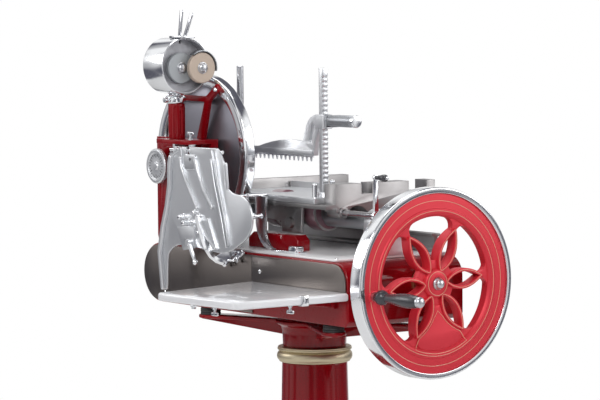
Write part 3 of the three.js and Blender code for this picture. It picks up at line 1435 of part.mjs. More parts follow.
// Guide block and chrome strap on the base's left edge, next to the knife's opening
function baseFittings() {
  const low = PLATE_TOP + SEAT;
  const guide = slab('x', polygon([
    [338, low],
    [536, low],
    [536, low + 22],
    [516, low + 36],
    [352, low + 36],
    [338, low + 24],
  ]), -140, -104, 2);
  const hook = new THREE.Shape();
  hook.moveTo(STRAP_BACK, STRAP_TOP);
  hook.lineTo(STRAP_BACK - 40, STRAP_TOP);
  hook.lineTo(STRAP_BACK - 38, low + 48);
  hook.quadraticCurveTo(STRAP_BACK - 40, low + 7, STRAP_BACK - 82, low + 5);
  hook.lineTo(STRAP_FRONT, low + 5);
  hook.lineTo(STRAP_FRONT, low);
  hook.lineTo(STRAP_BACK - 64, low);
  hook.quadraticCurveTo(STRAP_BACK - 10, low + 2, STRAP_BACK, low + 60);
  const strap = slab('x', hook, STRAP_X, STRAP_X + STRAP_THICKNESS, 0, 6);
  const foot = block(STRAP_X - 18, STRAP_X + 1, STRAP_FRONT, STRAP_BACK - 86, low, low + 5);
  const clamp = slab('x', roundedBox(STRAP_FRONT + 8, STRAP_FRONT + 36, low + 4, low + 17, 4),
    STRAP_X - 20, STRAP_X + 4, 1.5, 3);
  return [
    piece('guide_block', guide, redEnamel),
    piece('guard_strap', join(strap, foot, clamp), chrome),
  ];
}

// Carriage: bed, front and rear walls, slide bearings and roller lugs in one casting
function carriageCasting() {
  const bed = block(BED_LEFT, BED_RIGHT, BED_FRONT, BED_BACK, BED_BOTTOM, BED_TOP);
  const frontY = BED_FRONT + FRONT_WALL;
  const front = slab('y', polygon([
    [FRONT_BOX_LEFT, WALL_BOTTOM],
    [FRONT_SKIRT_LEFT, WALL_BOTTOM],
    [FRONT_SKIRT_LEFT, FRONT_SKIRT_BOTTOM],
    [FRONT_BOX_RIGHT, FRONT_SKIRT_BOTTOM],
    [FRONT_BOX_RIGHT, FRONT_WALL_TOP],
    [FRONT_BOX_RIGHT - 24, FRONT_WALL_TOP],
    [FRONT_BOX_RIGHT - 24, WALL_NOTCH_TOP],
    [FRONT_BOX_RIGHT - 76, WALL_NOTCH_TOP],
    [FRONT_BOX_RIGHT - 76, FRONT_WALL_TOP],
    [CRANK_GAP_RIGHT, FRONT_WALL_TOP],
    [CRANK_GAP_RIGHT, WALL_NOTCH_TOP],
    [CRANK_GAP_LEFT, WALL_NOTCH_TOP],
    [CRANK_GAP_LEFT, FRONT_WALL_TOP],
    [FRONT_BOX_LEFT, FRONT_WALL_TOP],
  ]), BED_FRONT, frontY);
  const rear = slab('y', polygon([
    [BED_LEFT, WALL_BOTTOM],
    [BED_RIGHT, WALL_BOTTOM],
    [BED_RIGHT, REAR_WALL_TOP],
    [BED_LEFT + 20, REAR_WALL_TOP],
    [BED_LEFT, REAR_WALL_TOP - 14],
  ]), BED_BACK - REAR_WALL, BED_BACK);
  const bearing = rod('y', 0, SLIDE_BEARING_LENGTH, SLIDE_BEARING_RADIUS, MEDIUM);
  const bearings = SLIDE_BEARING_Y.map((y) => bearing.translate([RAIL_X, y, RAIL_Z + SLIDE_BEARING_LIFT]));
  const rollerZ = TRACK_TOP + RUNNING + ROLLER_RADIUS;
  const lug = slab('x', polygon([
    [ROLLER_Y - 26, BED_BOTTOM + 1],
    [ROLLER_Y + 26, BED_BOTTOM + 1],
    [ROLLER_Y + 10, rollerZ - 10],
    [ROLLER_Y - 10, rollerZ - 10],
  ]), TRACK_X + ROLLER_WIDTH / 2 + RUNNING, TRACK_X + ROLLER_WIDTH / 2 + LUG_THICKNESS);
  const screwLugs = SCREW_LUG_X.map((x) => block(x, x + 12, FEED_SCREW_Y - 14, FEED_SCREW_Y + 14,
    FEED_CRANK_Z - 14, BED_BOTTOM + 1));
  const crankBoss = rod('y', BED_FRONT - 4, frontY, FEED_SHAFT_RADIUS + 6)
    .translate([FEED_CRANK_X, 0, FEED_CRANK_Z]);
  const housing = rod('y', frontY - 1, FEED_SCREW_Y - MITRE_RADIUS, FEED_HOUSING_RADIUS)
    .translate([FEED_HOUSING_X, 0, FEED_CRANK_Z]);
  const mitreRoom = block(FEED_HOUSING_X - MITRE_RADIUS - 2, FEED_HOUSING_X + 19, FEED_SCREW_Y - MITRE_RADIUS - 8,
    FEED_SCREW_Y + MITRE_RADIUS + 2, BED_BOTTOM - THROUGH, BED_TOP + THROUGH);
  const body = join(bed, front, rear, ...bearings, lug, ...screwLugs, crankBoss, housing, apron());
  const aboveBed = block(RAIL_X - 60, RAIL_X + 60, frontY + 1, BED_BACK - REAR_WALL - 1,
    BED_TOP, BED_TOP + 40);
  const tunnelRadius = SUPPORT_CROWN + TUNNEL_GAP;
  const tunnels = [
    hole('y', BED_FRONT - THROUGH, SLIDE_BEARING_Y[0] - 12, tunnelRadius).translate([RAIL_X, 0, RAIL_Z]),
    hole('y', SLIDE_BEARING_Y[1] + SLIDE_BEARING_LENGTH + 12, BED_BACK + THROUGH, tunnelRadius)
      .translate([RAIL_X, 0, RAIL_Z]),
  ];
  const bearingEnd = SLIDE_BEARING_Y[1] + SLIDE_BEARING_LENGTH;
  const railBore = hole('y', SLIDE_BEARING_Y[0] - THROUGH, bearingEnd + THROUGH, RAIL_RADIUS + RUNNING)
    .translate([RAIL_X, 0, RAIL_Z]);
  const crankBore = hole('y', BED_FRONT - THROUGH, BED_FRONT + FEED_BORE_DEPTH,
    FEED_SHAFT_RADIUS + RUNNING)
    .translate([FEED_CRANK_X, 0, FEED_CRANK_Z]);
  const screwBore = hole('x', 0, BED_RIGHT, FEED_SCREW_RADIUS + RUNNING)
    .translate([0, FEED_SCREW_Y, FEED_CRANK_Z]);
  const slotEnd = FEED_NUT_LEFT + FEED_NUT_LENGTH + TABLE_TRAVEL + TRAVEL_SPARE;
  const nutSlot = slab('z', roundedBox(FEED_NUT_LEFT - 2, slotEnd, FEED_SCREW_Y - FEED_SLOT_HALF,
    FEED_SCREW_Y + FEED_SLOT_HALF, 5), BED_BOTTOM - THROUGH, BED_TOP + THROUGH, 0, 3);
  const rollerBore = hole('x', TRACK_X, TRACK_X + 30, ROLLER_PIN + RUNNING).translate([0, ROLLER_Y, rollerZ]);
  const lightening = [BED_FRONT + FRONT_WALL + 22, FEED_SCREW_Y + 44].map((y) => slab('z',
    roundedBox(122, 212, y, y + 110, 16), BED_BOTTOM - THROUGH, BED_TOP + THROUGH, 0, 4));
  const bores = [railBore, crankBore, screwBore, rollerBore];
  const rooms = [aboveBed, ...tunnels, mitreRoom, nutSlot, ...lightening];
  return piece('carriage', cut(body, ...bores, ...rooms), castAluminium);
}

function trackRoller() {
  const half = ROLLER_WIDTH / 2;
  const roller = turned('x', [
    [-half, 0],
    [-half, ROLLER_RADIUS - 2],
    [-half + 2, ROLLER_RADIUS],
    [half - 2, ROLLER_RADIUS],
    [half, ROLLER_RADIUS - 2],
    [half, ROLLER_PIN],
    [half + LUG_THICKNESS, ROLLER_PIN],
    [half + LUG_THICKNESS, 0],
  ], MEDIUM);
  return piece('track_roller', roller, darkSteel, [TRACK_X, ROLLER_Y, TRACK_TOP + RUNNING + ROLLER_RADIUS]);
}

// Apron under the carriage's left edge, cast on it
function apron() {
  const top = BED_BOTTOM + 1;
  const plate = slab('x', polygon([
    [350, top],
    [528, top],
    [528, 128],
    [436, 122],
    [430, 98],
    [356, 98],
  ]), -118, -118 + APRON_THICKNESS, 1.2);
  const boss = rod('x', -128, -114, 13).translate([0, 392, 120]);
  return plate.add(boss);
}

// Feed: a crank at the carriage's front turns the cross screw that moves the table
function feedCrank() {
  const front = FEED_CRANK_Y;
  const back = front + FEED_ARM_THICKNESS;
  const shaftEnd = BED_FRONT + FEED_BORE_DEPTH - 2;
  const shaft = turned('y', [
    [front - 3, 0],
    [front - 3, FEED_SHAFT_RADIUS + 4],
    [back + 2, FEED_SHAFT_RADIUS + 4],
    [back + 2, FEED_SHAFT_RADIUS],
    [shaftEnd, FEED_SHAFT_RADIUS],
    [shaftEnd, 0],
  ], SMALL);
  const half = FEED_ARM_WIDTH / 2;
  const arm = slab('y', polygon([
    [-half - 2, 0],
    [half + 2, 0],
    [half - 1, FEED_ARM_LENGTH],
    [-half + 1, FEED_ARM_LENGTH],
  ]), front, back, 1);
  const eye = rod('y', front, back, half + 1).translate([0, 0, FEED_ARM_LENGTH]);
  const stud = rod('y', front - FEED_GRIP_LENGTH - 4, front + 4, FEED_STUD_RADIUS)
    .translate([0, 0, FEED_ARM_LENGTH]);
  const gripFace = front - SEAT;
  const grip = ring('y', [
    [gripFace, FEED_STUD_RADIUS + RUNNING],
    [gripFace, 6],
    [gripFace - FEED_GRIP_LENGTH * 0.4, 7],
    [gripFace - FEED_GRIP_LENGTH * 0.75, 9],
    [gripFace - FEED_GRIP_LENGTH, 6],
    [gripFace - FEED_GRIP_LENGTH, FEED_STUD_RADIUS + RUNNING],
  ], SMALL);
  const place = [FEED_CRANK_X, 0, FEED_CRANK_Z];
  return [
    piece('feed_crank', join(shaft, arm, eye, stud), chrome, place),
    piece('feed_crank_grip', grip, blackGrip, [FEED_CRANK_X, 0, FEED_CRANK_Z + FEED_ARM_LENGTH]),
  ];
}

function feedScrew() {
  const left = FEED_HOUSING_X + FEED_SHAFT_RADIUS;
  const end = SCREW_LUG_X[1] + 24;
  const screw = turned('x', [
    [left, 0],
    [left, FEED_SHAFT_RADIUS],
    [left + 5, MITRE_RADIUS - 1],
    [left + 9, MITRE_RADIUS - 1],
    [left + 9, FEED_SCREW_RADIUS],
    [end - 6, FEED_SCREW_RADIUS],
    [end - 6, FEED_SCREW_RADIUS + 1.5],
    [end, FEED_SCREW_RADIUS + 1.5],
    [end, 0],
  ], SMALL);
  return piece('feed_screw', screw, darkSteel, [0, FEED_SCREW_Y, FEED_CRANK_Z]);
}

// Meat table with its feed nut beneath
function meatTable() {
  const outline = roundedBox(TABLE_LEFT, TABLE_RIGHT, TABLE_FRONT, TABLE_BACK, 3);
  const plate = slab('z', outline, TABLE_BOTTOM, TABLE_TOP, 1.2, 2);
  const rim = block(TABLE_RIGHT - TABLE_RIM, TABLE_RIGHT, TABLE_FRONT + 4, TABLE_BACK - 4,
    TABLE_TOP - 1, TABLE_TOP + 14);
  const grooves = Array.from({ length: 9 }, (_, i) => {
    const x = TABLE_LEFT + 34 + i * 16;
    return block(x, x + 3, TABLE_FRONT + 44, TABLE_BACK - 44, TABLE_TOP - 1.2, TABLE_TOP + THROUGH);
  });
  const nutX = FEED_NUT_LEFT + SEAT;
  const nut = block(nutX, nutX + FEED_NUT_LENGTH, FEED_SCREW_Y - FEED_SLOT_HALF + 1,
    FEED_SCREW_Y + FEED_SLOT_HALF - 1, FEED_CRANK_Z - 12, TABLE_BOTTOM + 1);
  const bore = hole('x', nutX - THROUGH, nutX + FEED_NUT_LENGTH + THROUGH, FEED_SCREW_RADIUS + RUNNING)
    .translate([0, FEED_SCREW_Y, FEED_CRANK_Z]);
  const sockets = [FRONT_POST_Y, REAR_POST_Y].map((y) => rod('z', TABLE_TOP - 1, TABLE_TOP + 10, 14)
    .translate([CLAMP_X, y, 0]));
  const socketHalf = POST_SIDE / 2 + SEAT;
  const postHoles = [
    block(CLAMP_X - socketHalf, CLAMP_X + socketHalf, FRONT_POST_Y - socketHalf, FRONT_POST_Y + socketHalf,
      TABLE_BOTTOM + 3, TABLE_TOP + 20),
    hole('z', TABLE_BOTTOM + 3, TABLE_TOP + 20, REAR_POST_RADIUS + SEAT).translate([CLAMP_X, REAR_POST_Y, 0]),
  ];
  const body = join(plate, rim, nut, ...sockets);
  return piece('meat_table', cut(body, ...grooves, bore, ...postHoles), castAluminium);
}

// Clamp posts, press arm, toothed bar and release lever
function clampPosts() {
  const half = POST_SIDE / 2;
  const low = TABLE_BOTTOM + 3 + SEAT;
  const rackLow = TABLE_TOP + 26;
  const rackHigh = POST_TOP - 24;
  const count = Math.floor((rackHigh - rackLow) / RACK_PITCH);
  const front = [
    [FRONT_POST_Y + half, low],
    [FRONT_POST_Y + half, POST_TOP],
    [FRONT_POST_Y - half, POST_TOP],
  ];
  for (let tooth = count; tooth >= 0; tooth -= 1) {
    const z = rackLow + tooth * RACK_PITCH;
    front.push([FRONT_POST_Y - half, z + RACK_PITCH * 0.7]);
    front.push([FRONT_POST_Y - half + RACK_DEPTH, z + RACK_PITCH * 0.35]);
    front.push([FRONT_POST_Y - half, z + RACK_PITCH * 0.2]);
  }
  front.push([FRONT_POST_Y - half, low]);
  const rackPost = slab('x', polygon(front), CLAMP_X - half, CLAMP_X + half);
  const rearPost = turned('z', [
    [low, 0],
    [low, REAR_POST_RADIUS],
    [POST_TOP - 2, REAR_POST_RADIUS],
    [POST_TOP, REAR_POST_RADIUS - 2],
    [POST_TOP, 0],
  ], SMALL);
  return [
    piece('rack_post', rackPost, castAluminium),
    piece('rear_post', rearPost, polishedSteel, [CLAMP_X, REAR_POST_Y, 0]),
  ];
}

function pressArm() {
  const half = BAR_WIDTH / 2;
  const y = FRONT_POST_Y;
  const swan = new THREE.Shape();
  swan.moveTo(y - 20, ARM_HEAD_BOTTOM);
  swan.lineTo(y - 20, ARM_HEAD_TOP - 4);
  swan.lineTo(y - 14, ARM_HEAD_TOP);
  swan.lineTo(y + 14, ARM_HEAD_TOP);
  swan.quadraticCurveTo(y + 52, ARM_HEAD_TOP - 2, y + 62, BAR_BOTTOM + 58);
  swan.lineTo(y + 74, BAR_BOTTOM + 30);
  swan.quadraticCurveTo(y + 150, BAR_BOTTOM + 42, y + 250, BAR_BOTTOM + BAR_HEIGHT + 3);
  swan.lineTo(REAR_POST_Y, BAR_BOTTOM + BAR_HEIGHT);
  swan.lineTo(REAR_POST_Y, BAR_BOTTOM);
  swan.lineTo(y + 30, BAR_BOTTOM);
  swan.quadraticCurveTo(y + 26, BAR_BOTTOM + 40, y + 12, ARM_HEAD_BOTTOM);
  const swanNeck = slab('x', swan, CLAMP_X - 7, CLAMP_X + 7, 0, 7);
  const bar = block(CLAMP_X - half, CLAMP_X + half, y + 34, REAR_POST_Y, BAR_BOTTOM, BAR_BOTTOM + BAR_HEIGHT);
  const headOutline = roundedBox(CLAMP_X - 15, CLAMP_X + 15, y - 18, y + 18, 6);
  const head = slab('z', headOutline, ARM_HEAD_BOTTOM, ARM_HEAD_TOP, 1.5, 3);
  const eye = rod('z', BAR_BOTTOM - 3, BAR_BOTTOM + BAR_HEIGHT + 6, REAR_POST_RADIUS + 7)
    .translate([CLAMP_X, REAR_POST_Y, 0]);
  const clear = POST_SIDE / 2 + RUNNING;
  const postHole = block(CLAMP_X - clear, CLAMP_X + clear, y - clear, y + clear,
    ARM_HEAD_BOTTOM - THROUGH, ARM_HEAD_TOP + THROUGH);
  const rearHole = hole('z', BAR_BOTTOM - 12, BAR_BOTTOM + 40, REAR_POST_RADIUS + RUNNING)
    .translate([CLAMP_X, REAR_POST_Y, 0]);
  const slot = slab('x', roundedBox(-5, 5, -22, 22, 4.8), CLAMP_X - 20, CLAMP_X + 20, 0, 4)
    .rotate([18, 0, 0]).translate([0, y + 36, ARM_HEAD_BOTTOM - 12]);
  const leverRoom = block(CLAMP_X - 6, CLAMP_X + 6, y - 40, y - clear + 1,
    ARM_HEAD_BOTTOM + 3, ARM_HEAD_TOP + THROUGH);
  const arm = join(swanNeck, bar, head, eye);
  return piece('press_arm', cut(arm, postHole, rearHole, slot, leverRoom), castAluminium);
}

function toothedStrip() {
  const start = FRONT_POST_Y + 40;
  const end = REAR_POST_Y - REAR_POST_RADIUS - 10;
  const top = BAR_BOTTOM - SEAT;
  const count = Math.floor((end - start) / SPIKE_PITCH);
  const points = [[start, top], [start, top - 4]];
  for (let spike = 0; spike < count; spike += 1) {
    const y = start + (spike + 0.5) * SPIKE_PITCH;
    points.push([y - 3, top - 4], [y, top - 4 - SPIKE_LENGTH], [y + 3, top - 4]);
  }
  points.push([end, top - 4], [end, top]);
  const half = STRIP_THICKNESS / 2;
  return piece('toothed_strip', slab('x', polygon(points), CLAMP_X - half, CLAMP_X + half), polishedSteel);
}

function clampLever() {
  const y = FRONT_POST_Y - POST_SIDE / 2 - 2.6;
  const z = (ARM_HEAD_BOTTOM + ARM_HEAD_TOP) / 2;
  const lever = slab('x', polygon([
    [-1, -9],
    [-30, -12],
    [-CLAMP_LEVER_LENGTH + 6, -6],
    [-CLAMP_LEVER_LENGTH, 4],
    [-CLAMP_LEVER_LENGTH + 4, 10],
    [-40, 15],
    [-8, 15],
    [-1, 10],
  ]), -5.4, 5.4, 1.2);
  return piece('clamp_lever', lever, darkSteel, [CLAMP_X, y, z]);
}

// Slice tray and its bracket
const trayOutline = (inset) => {
  const shape = new THREE.Shape();
  const right = SIDE_PLATE_X - SEAT - inset;
  const near = TRAY_NEAR_Y + inset;
  const left = TRAY_LEFT + inset;
  shape.moveTo(right, near);
  shape.lineTo(right, TRAY_FAR_RIGHT_Y - inset);
  shape.lineTo(left + 10, TRAY_FAR_LEFT_Y - inset);
  shape.quadraticCurveTo(left, TRAY_FAR_LEFT_Y - 2 - inset, left, TRAY_FAR_LEFT_Y - 14 - inset);
  shape.lineTo(left + 14, near + TRAY_CORNER);
  shape.quadraticCurveTo(left + 16, near, left + 16 + TRAY_CORNER, near);
  return shape;
};

function sliceTray() {
  const body = slab('z', trayOutline(0), TRAY_TOP - TRAY_THICKNESS, TRAY_TOP, 3, 5);
  return piece('slice_tray', body, whiteEnamel);
}

function trayBracket() {
  const top = TRAY_TOP - TRAY_THICKNESS - SEAT;
  const wall = BASE_LEFT - SEAT;
  const arms = TRAY_ARM_Y.map((y) => slab('y', polygon([
    [wall, top],
    [wall - TRAY_ARM_REACH, top],
    [wall - TRAY_ARM_REACH, top - 7],
    [wall - 30, top - TRAY_ARM_DEPTH],
    [wall, top - TRAY_ARM_DEPTH - 6],
  ]), y, y + TRAY_ARM_WIDTH, 1.5));
  const reach = wall - TRAY_ARM_REACH + 24;
  const tie = block(reach, reach + 14, TRAY_ARM_Y[0] + 4, TRAY_ARM_Y[1] + 8, top - 8, top - 1);
  const foot = block(wall - 8, wall, TRAY_ARM_Y[0] - 12, TRAY_ARM_Y[1] + TRAY_ARM_WIDTH + 12,
    top - TRAY_ARM_DEPTH - 6, top - 3);
  const screwHole = hole('z', top - 20, top + THROUGH, 4 + SEAT).translate([reach + 7, TRAY_SCREW_Y, 0]);
  const boss = rod('z', top - 12, top - 1, 11).translate([reach + 7, TRAY_SCREW_Y, 0]);
  return piece('tray_bracket', cut(join(...arms, tie, foot, boss), screwHole), redEnamel);
}

function trayScrew() {
  const top = TRAY_TOP - TRAY_THICKNESS - SEAT;
  const x = BASE_LEFT - SEAT - TRAY_ARM_REACH + 31;
  const stem = turned('z', [
    [top - 24, 0],
    [top - 24, 6],
    [top - 12 - SEAT, 6],
    [top - 12 - SEAT, 4],
    [top - 1, 4],
    [top - 1, 0],
  ], TINY);
  const wing = slab('y', roundedBox(-14, 14, top - 26, top - 19, 3), -2.5, 2.5, 0, 2);
  return piece('tray_thumbscrew', stem.add(wing), chrome, [x, TRAY_SCREW_Y, 0]);
}

const machine = new THREE.Group();
machine.position.set(WHEEL_ASIDE, -WHEEL_REACH, WHEEL_HEIGHT);
machine.add(
  pedestalColumn(),
  pedestalRing(),
  pedestalHead(),
  ...rubberFeet(),
  baseCasting(),
  ...sidePlates(),
  topPlate(),
  ...shaftBushes(),
  flywheel(),
  wheelShaft(),
  domeNut(),
  ...handle(),
  ...drive(),
  chain(),
  knifeGroup(),
  knifeFrame(),
  guardFork(),
  deflector(),
  deflectorRod(),
  deflectorScrew(),
  thicknessDial(),
  ...sharpener(),
  ...rails(),
  ...baseFittings(),
  carriageCasting(),
  trackRoller(),
  ...feedCrank(),
  feedScrew(),
  meatTable(),
  ...clampPosts(),
  pressArm(),
  toothedStrip(),
  clampLever(),
  sliceTray(),
  trayBracket(),
  trayScrew(),
);

const slicer = new THREE.Group();
slicer.add(machine);

export default slicer;
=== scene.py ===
"""Looks of a hand crank meat slicer on its cast pedestal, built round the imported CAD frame.

Lengths inside the classes are millimetres in the machine's own frame, which starts at the
centre of the flywheel's front face: X to the right, Y away from the operator, Z up.
Every finished mesh is moved into the row frame, in metres, with its object at the origin.
"""

from __future__ import annotations

import json
import logging
import math
from dataclasses import dataclass, field
from enum import Enum
from typing import Iterable, Sequence

import bmesh
import bpy
from mathutils import Matrix, Vector

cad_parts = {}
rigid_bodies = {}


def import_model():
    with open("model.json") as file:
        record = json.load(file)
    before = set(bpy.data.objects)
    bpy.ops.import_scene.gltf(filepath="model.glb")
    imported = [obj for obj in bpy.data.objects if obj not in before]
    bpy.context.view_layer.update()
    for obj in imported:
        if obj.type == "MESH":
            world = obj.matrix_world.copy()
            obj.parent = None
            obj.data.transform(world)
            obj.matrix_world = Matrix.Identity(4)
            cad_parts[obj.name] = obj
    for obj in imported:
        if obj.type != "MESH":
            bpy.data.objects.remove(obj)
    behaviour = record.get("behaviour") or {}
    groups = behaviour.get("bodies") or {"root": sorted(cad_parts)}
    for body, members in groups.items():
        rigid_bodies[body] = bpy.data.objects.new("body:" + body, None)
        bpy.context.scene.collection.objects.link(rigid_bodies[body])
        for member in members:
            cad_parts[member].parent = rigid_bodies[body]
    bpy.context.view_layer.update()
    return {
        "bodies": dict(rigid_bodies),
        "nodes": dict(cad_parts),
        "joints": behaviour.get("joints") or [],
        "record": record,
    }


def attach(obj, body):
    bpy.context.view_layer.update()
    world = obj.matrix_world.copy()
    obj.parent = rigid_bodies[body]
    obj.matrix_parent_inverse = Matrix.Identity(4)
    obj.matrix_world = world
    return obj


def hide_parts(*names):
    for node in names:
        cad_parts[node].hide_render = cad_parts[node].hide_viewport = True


LOG = logging.getLogger("slicer")

Pair = tuple[float, float]
Triple = tuple[float, float, float]
Link = tuple[bpy.types.Node, str | int, bpy.types.Node, str | int]

MILLIMETRE = 0.001
MACHINE_ORIGIN = Vector((53.0, -395.0, 900.0))
WELD = 1e-4
FULL_TURN = 2 * math.pi
COARSE, MEDIUM, FINE, FINEST = 32, 64, 112, 200


class Axis(Enum):
    """The axis that a form is turned about or drawn along, with the two directions across it."""

    X = ((1, 0, 0), (0, 1, 0), (0, 0, 1))
    Y = ((0, 1, 0), (1, 0, 0), (0, 0, 1))
    Z = ((0, 0, 1), (1, 0, 0), (0, 1, 0))

    @property
    def along(self) -> Vector:
        """Unit vector along the axis."""
        return Vector(self.value[0])

    def point(self, u: float, v: float, w: float) -> Vector:
        """Point at u and v across the axis and w along it."""
        return Vector(self.value[1]) * u + Vector(self.value[2]) * v + self.along * w


# Outlines


def arc(centre: Pair, radius: float, start: float, end: float, steps: int = 24) -> list[Pair]:
    """Points of an arc, its angles in degrees.

    Args:
        centre: middle of the arc.
        radius: radius of the arc.
        start: first angle.
        end: last angle.
        steps: number of straight steps.

    Returns:
        steps + 1 points.
    """
    turns = [math.radians(start + (end - start) * i / steps) for i in range(steps + 1)]
    return [(centre[0] + radius * math.cos(t), centre[1] + radius * math.sin(t)) for t in turns]


def sweep(start: Pair, pull: Pair, end: Pair, steps: int = 14) -> list[Pair]:
    """Points of a curve that leans towards a third point.

    Args:
        start: first point.
        pull: point that the curve leans towards.
        end: last point.
        steps: number of straight steps.

    Returns:
        steps + 1 points.
    """
    shares = [i / steps for i in range(steps + 1)]
    return [
        tuple((1 - t) ** 2 * start[k] + 2 * t * (1 - t) * pull[k] + t * t * end[k] for k in (0, 1))
        for t in shares
    ]


def soften(points: Sequence[Pair], radius: float, closed: bool = False, steps: int = 3) -> list[Pair]:
    """Rounds the corners of a line.

    Args:
        points: corners of the line.
        radius: how far from each corner the rounding starts.
        closed: whether the last point joins the first.
        steps: number of straight steps in each rounding.

    Returns:
        The points of the rounded line.
    """
    count = len(points)
    made: list[Pair] = []
    for i, corner in enumerate(points):
        if not closed and i in (0, count - 1):
            made.append(corner)
            continue
        before, after = Vector(points[i - 1]), Vector(points[(i + 1) % count])
        middle = Vector(corner)
        reach = min(radius, 0.45 * (before - middle).length, 0.45 * (after - middle).length)
        if reach < 1e-3:
            made.append(corner)
            continue
        first = middle + (before - middle).normalized() * reach
        last = middle + (after - middle).normalized() * reach
        made += sweep(tuple(first), corner, tuple(last), steps)
    return made


def rounded_box(u0: float, u1: float, v0: float, v1: float, radius: float, steps: int = 8) -> list[Pair]:
    """A rectangle with round corners.

    Args:
        u0: low end across.
        u1: high end across.
        v0: low end upwards.
        v1: high end upwards.
        radius: radius of its corners.
        steps: straight steps in each corner.

    Returns:
        Its outline.
    """
    corners = [(u1, v0, -90), (u1, v1, 0), (u0, v1, 90), (u0, v0, 180)]
    made: list[Pair] = []
    for u, v, turn in corners:
        inward_u = radius if u == u0 else -radius
        inward_v = radius if v == v0 else -radius
        made += arc((u + inward_u, v + inward_v), radius, turn, turn + 90, steps)
    return made


def bar_outline(start: Pair, end: Pair, width: float) -> list[Pair]:
    """A straight bar with round ends.

    Args:
        start: middle of one end.
        end: middle of the other.
        width: width of the bar.

    Returns:
        Its outline.
    """
    turn = math.degrees(math.atan2(end[1] - start[1], end[0] - start[0]))
    half = width / 2
    return arc(end, half, turn - 90, turn + 90, 10) + arc(start, half, turn + 90, turn + 270, 10)


def dome(start: float, height: float, radius: float, turns: range = range(0, 91, 9)) -> list[Pair]:
    """Profile of a domed end that rises towards the low side of the axis.

    Args:
        start: where the dome's middle lies along the axis.
        height: how far it rises from there.
        radius: its radius there.
        turns: angles of its points, in degrees.

    Returns:
        Points as distance along the axis and radius.
    """
    angles = [math.radians(t) for t in turns]
    return [(start - height * math.sin(t), radius * math.cos(t)) for t in angles]


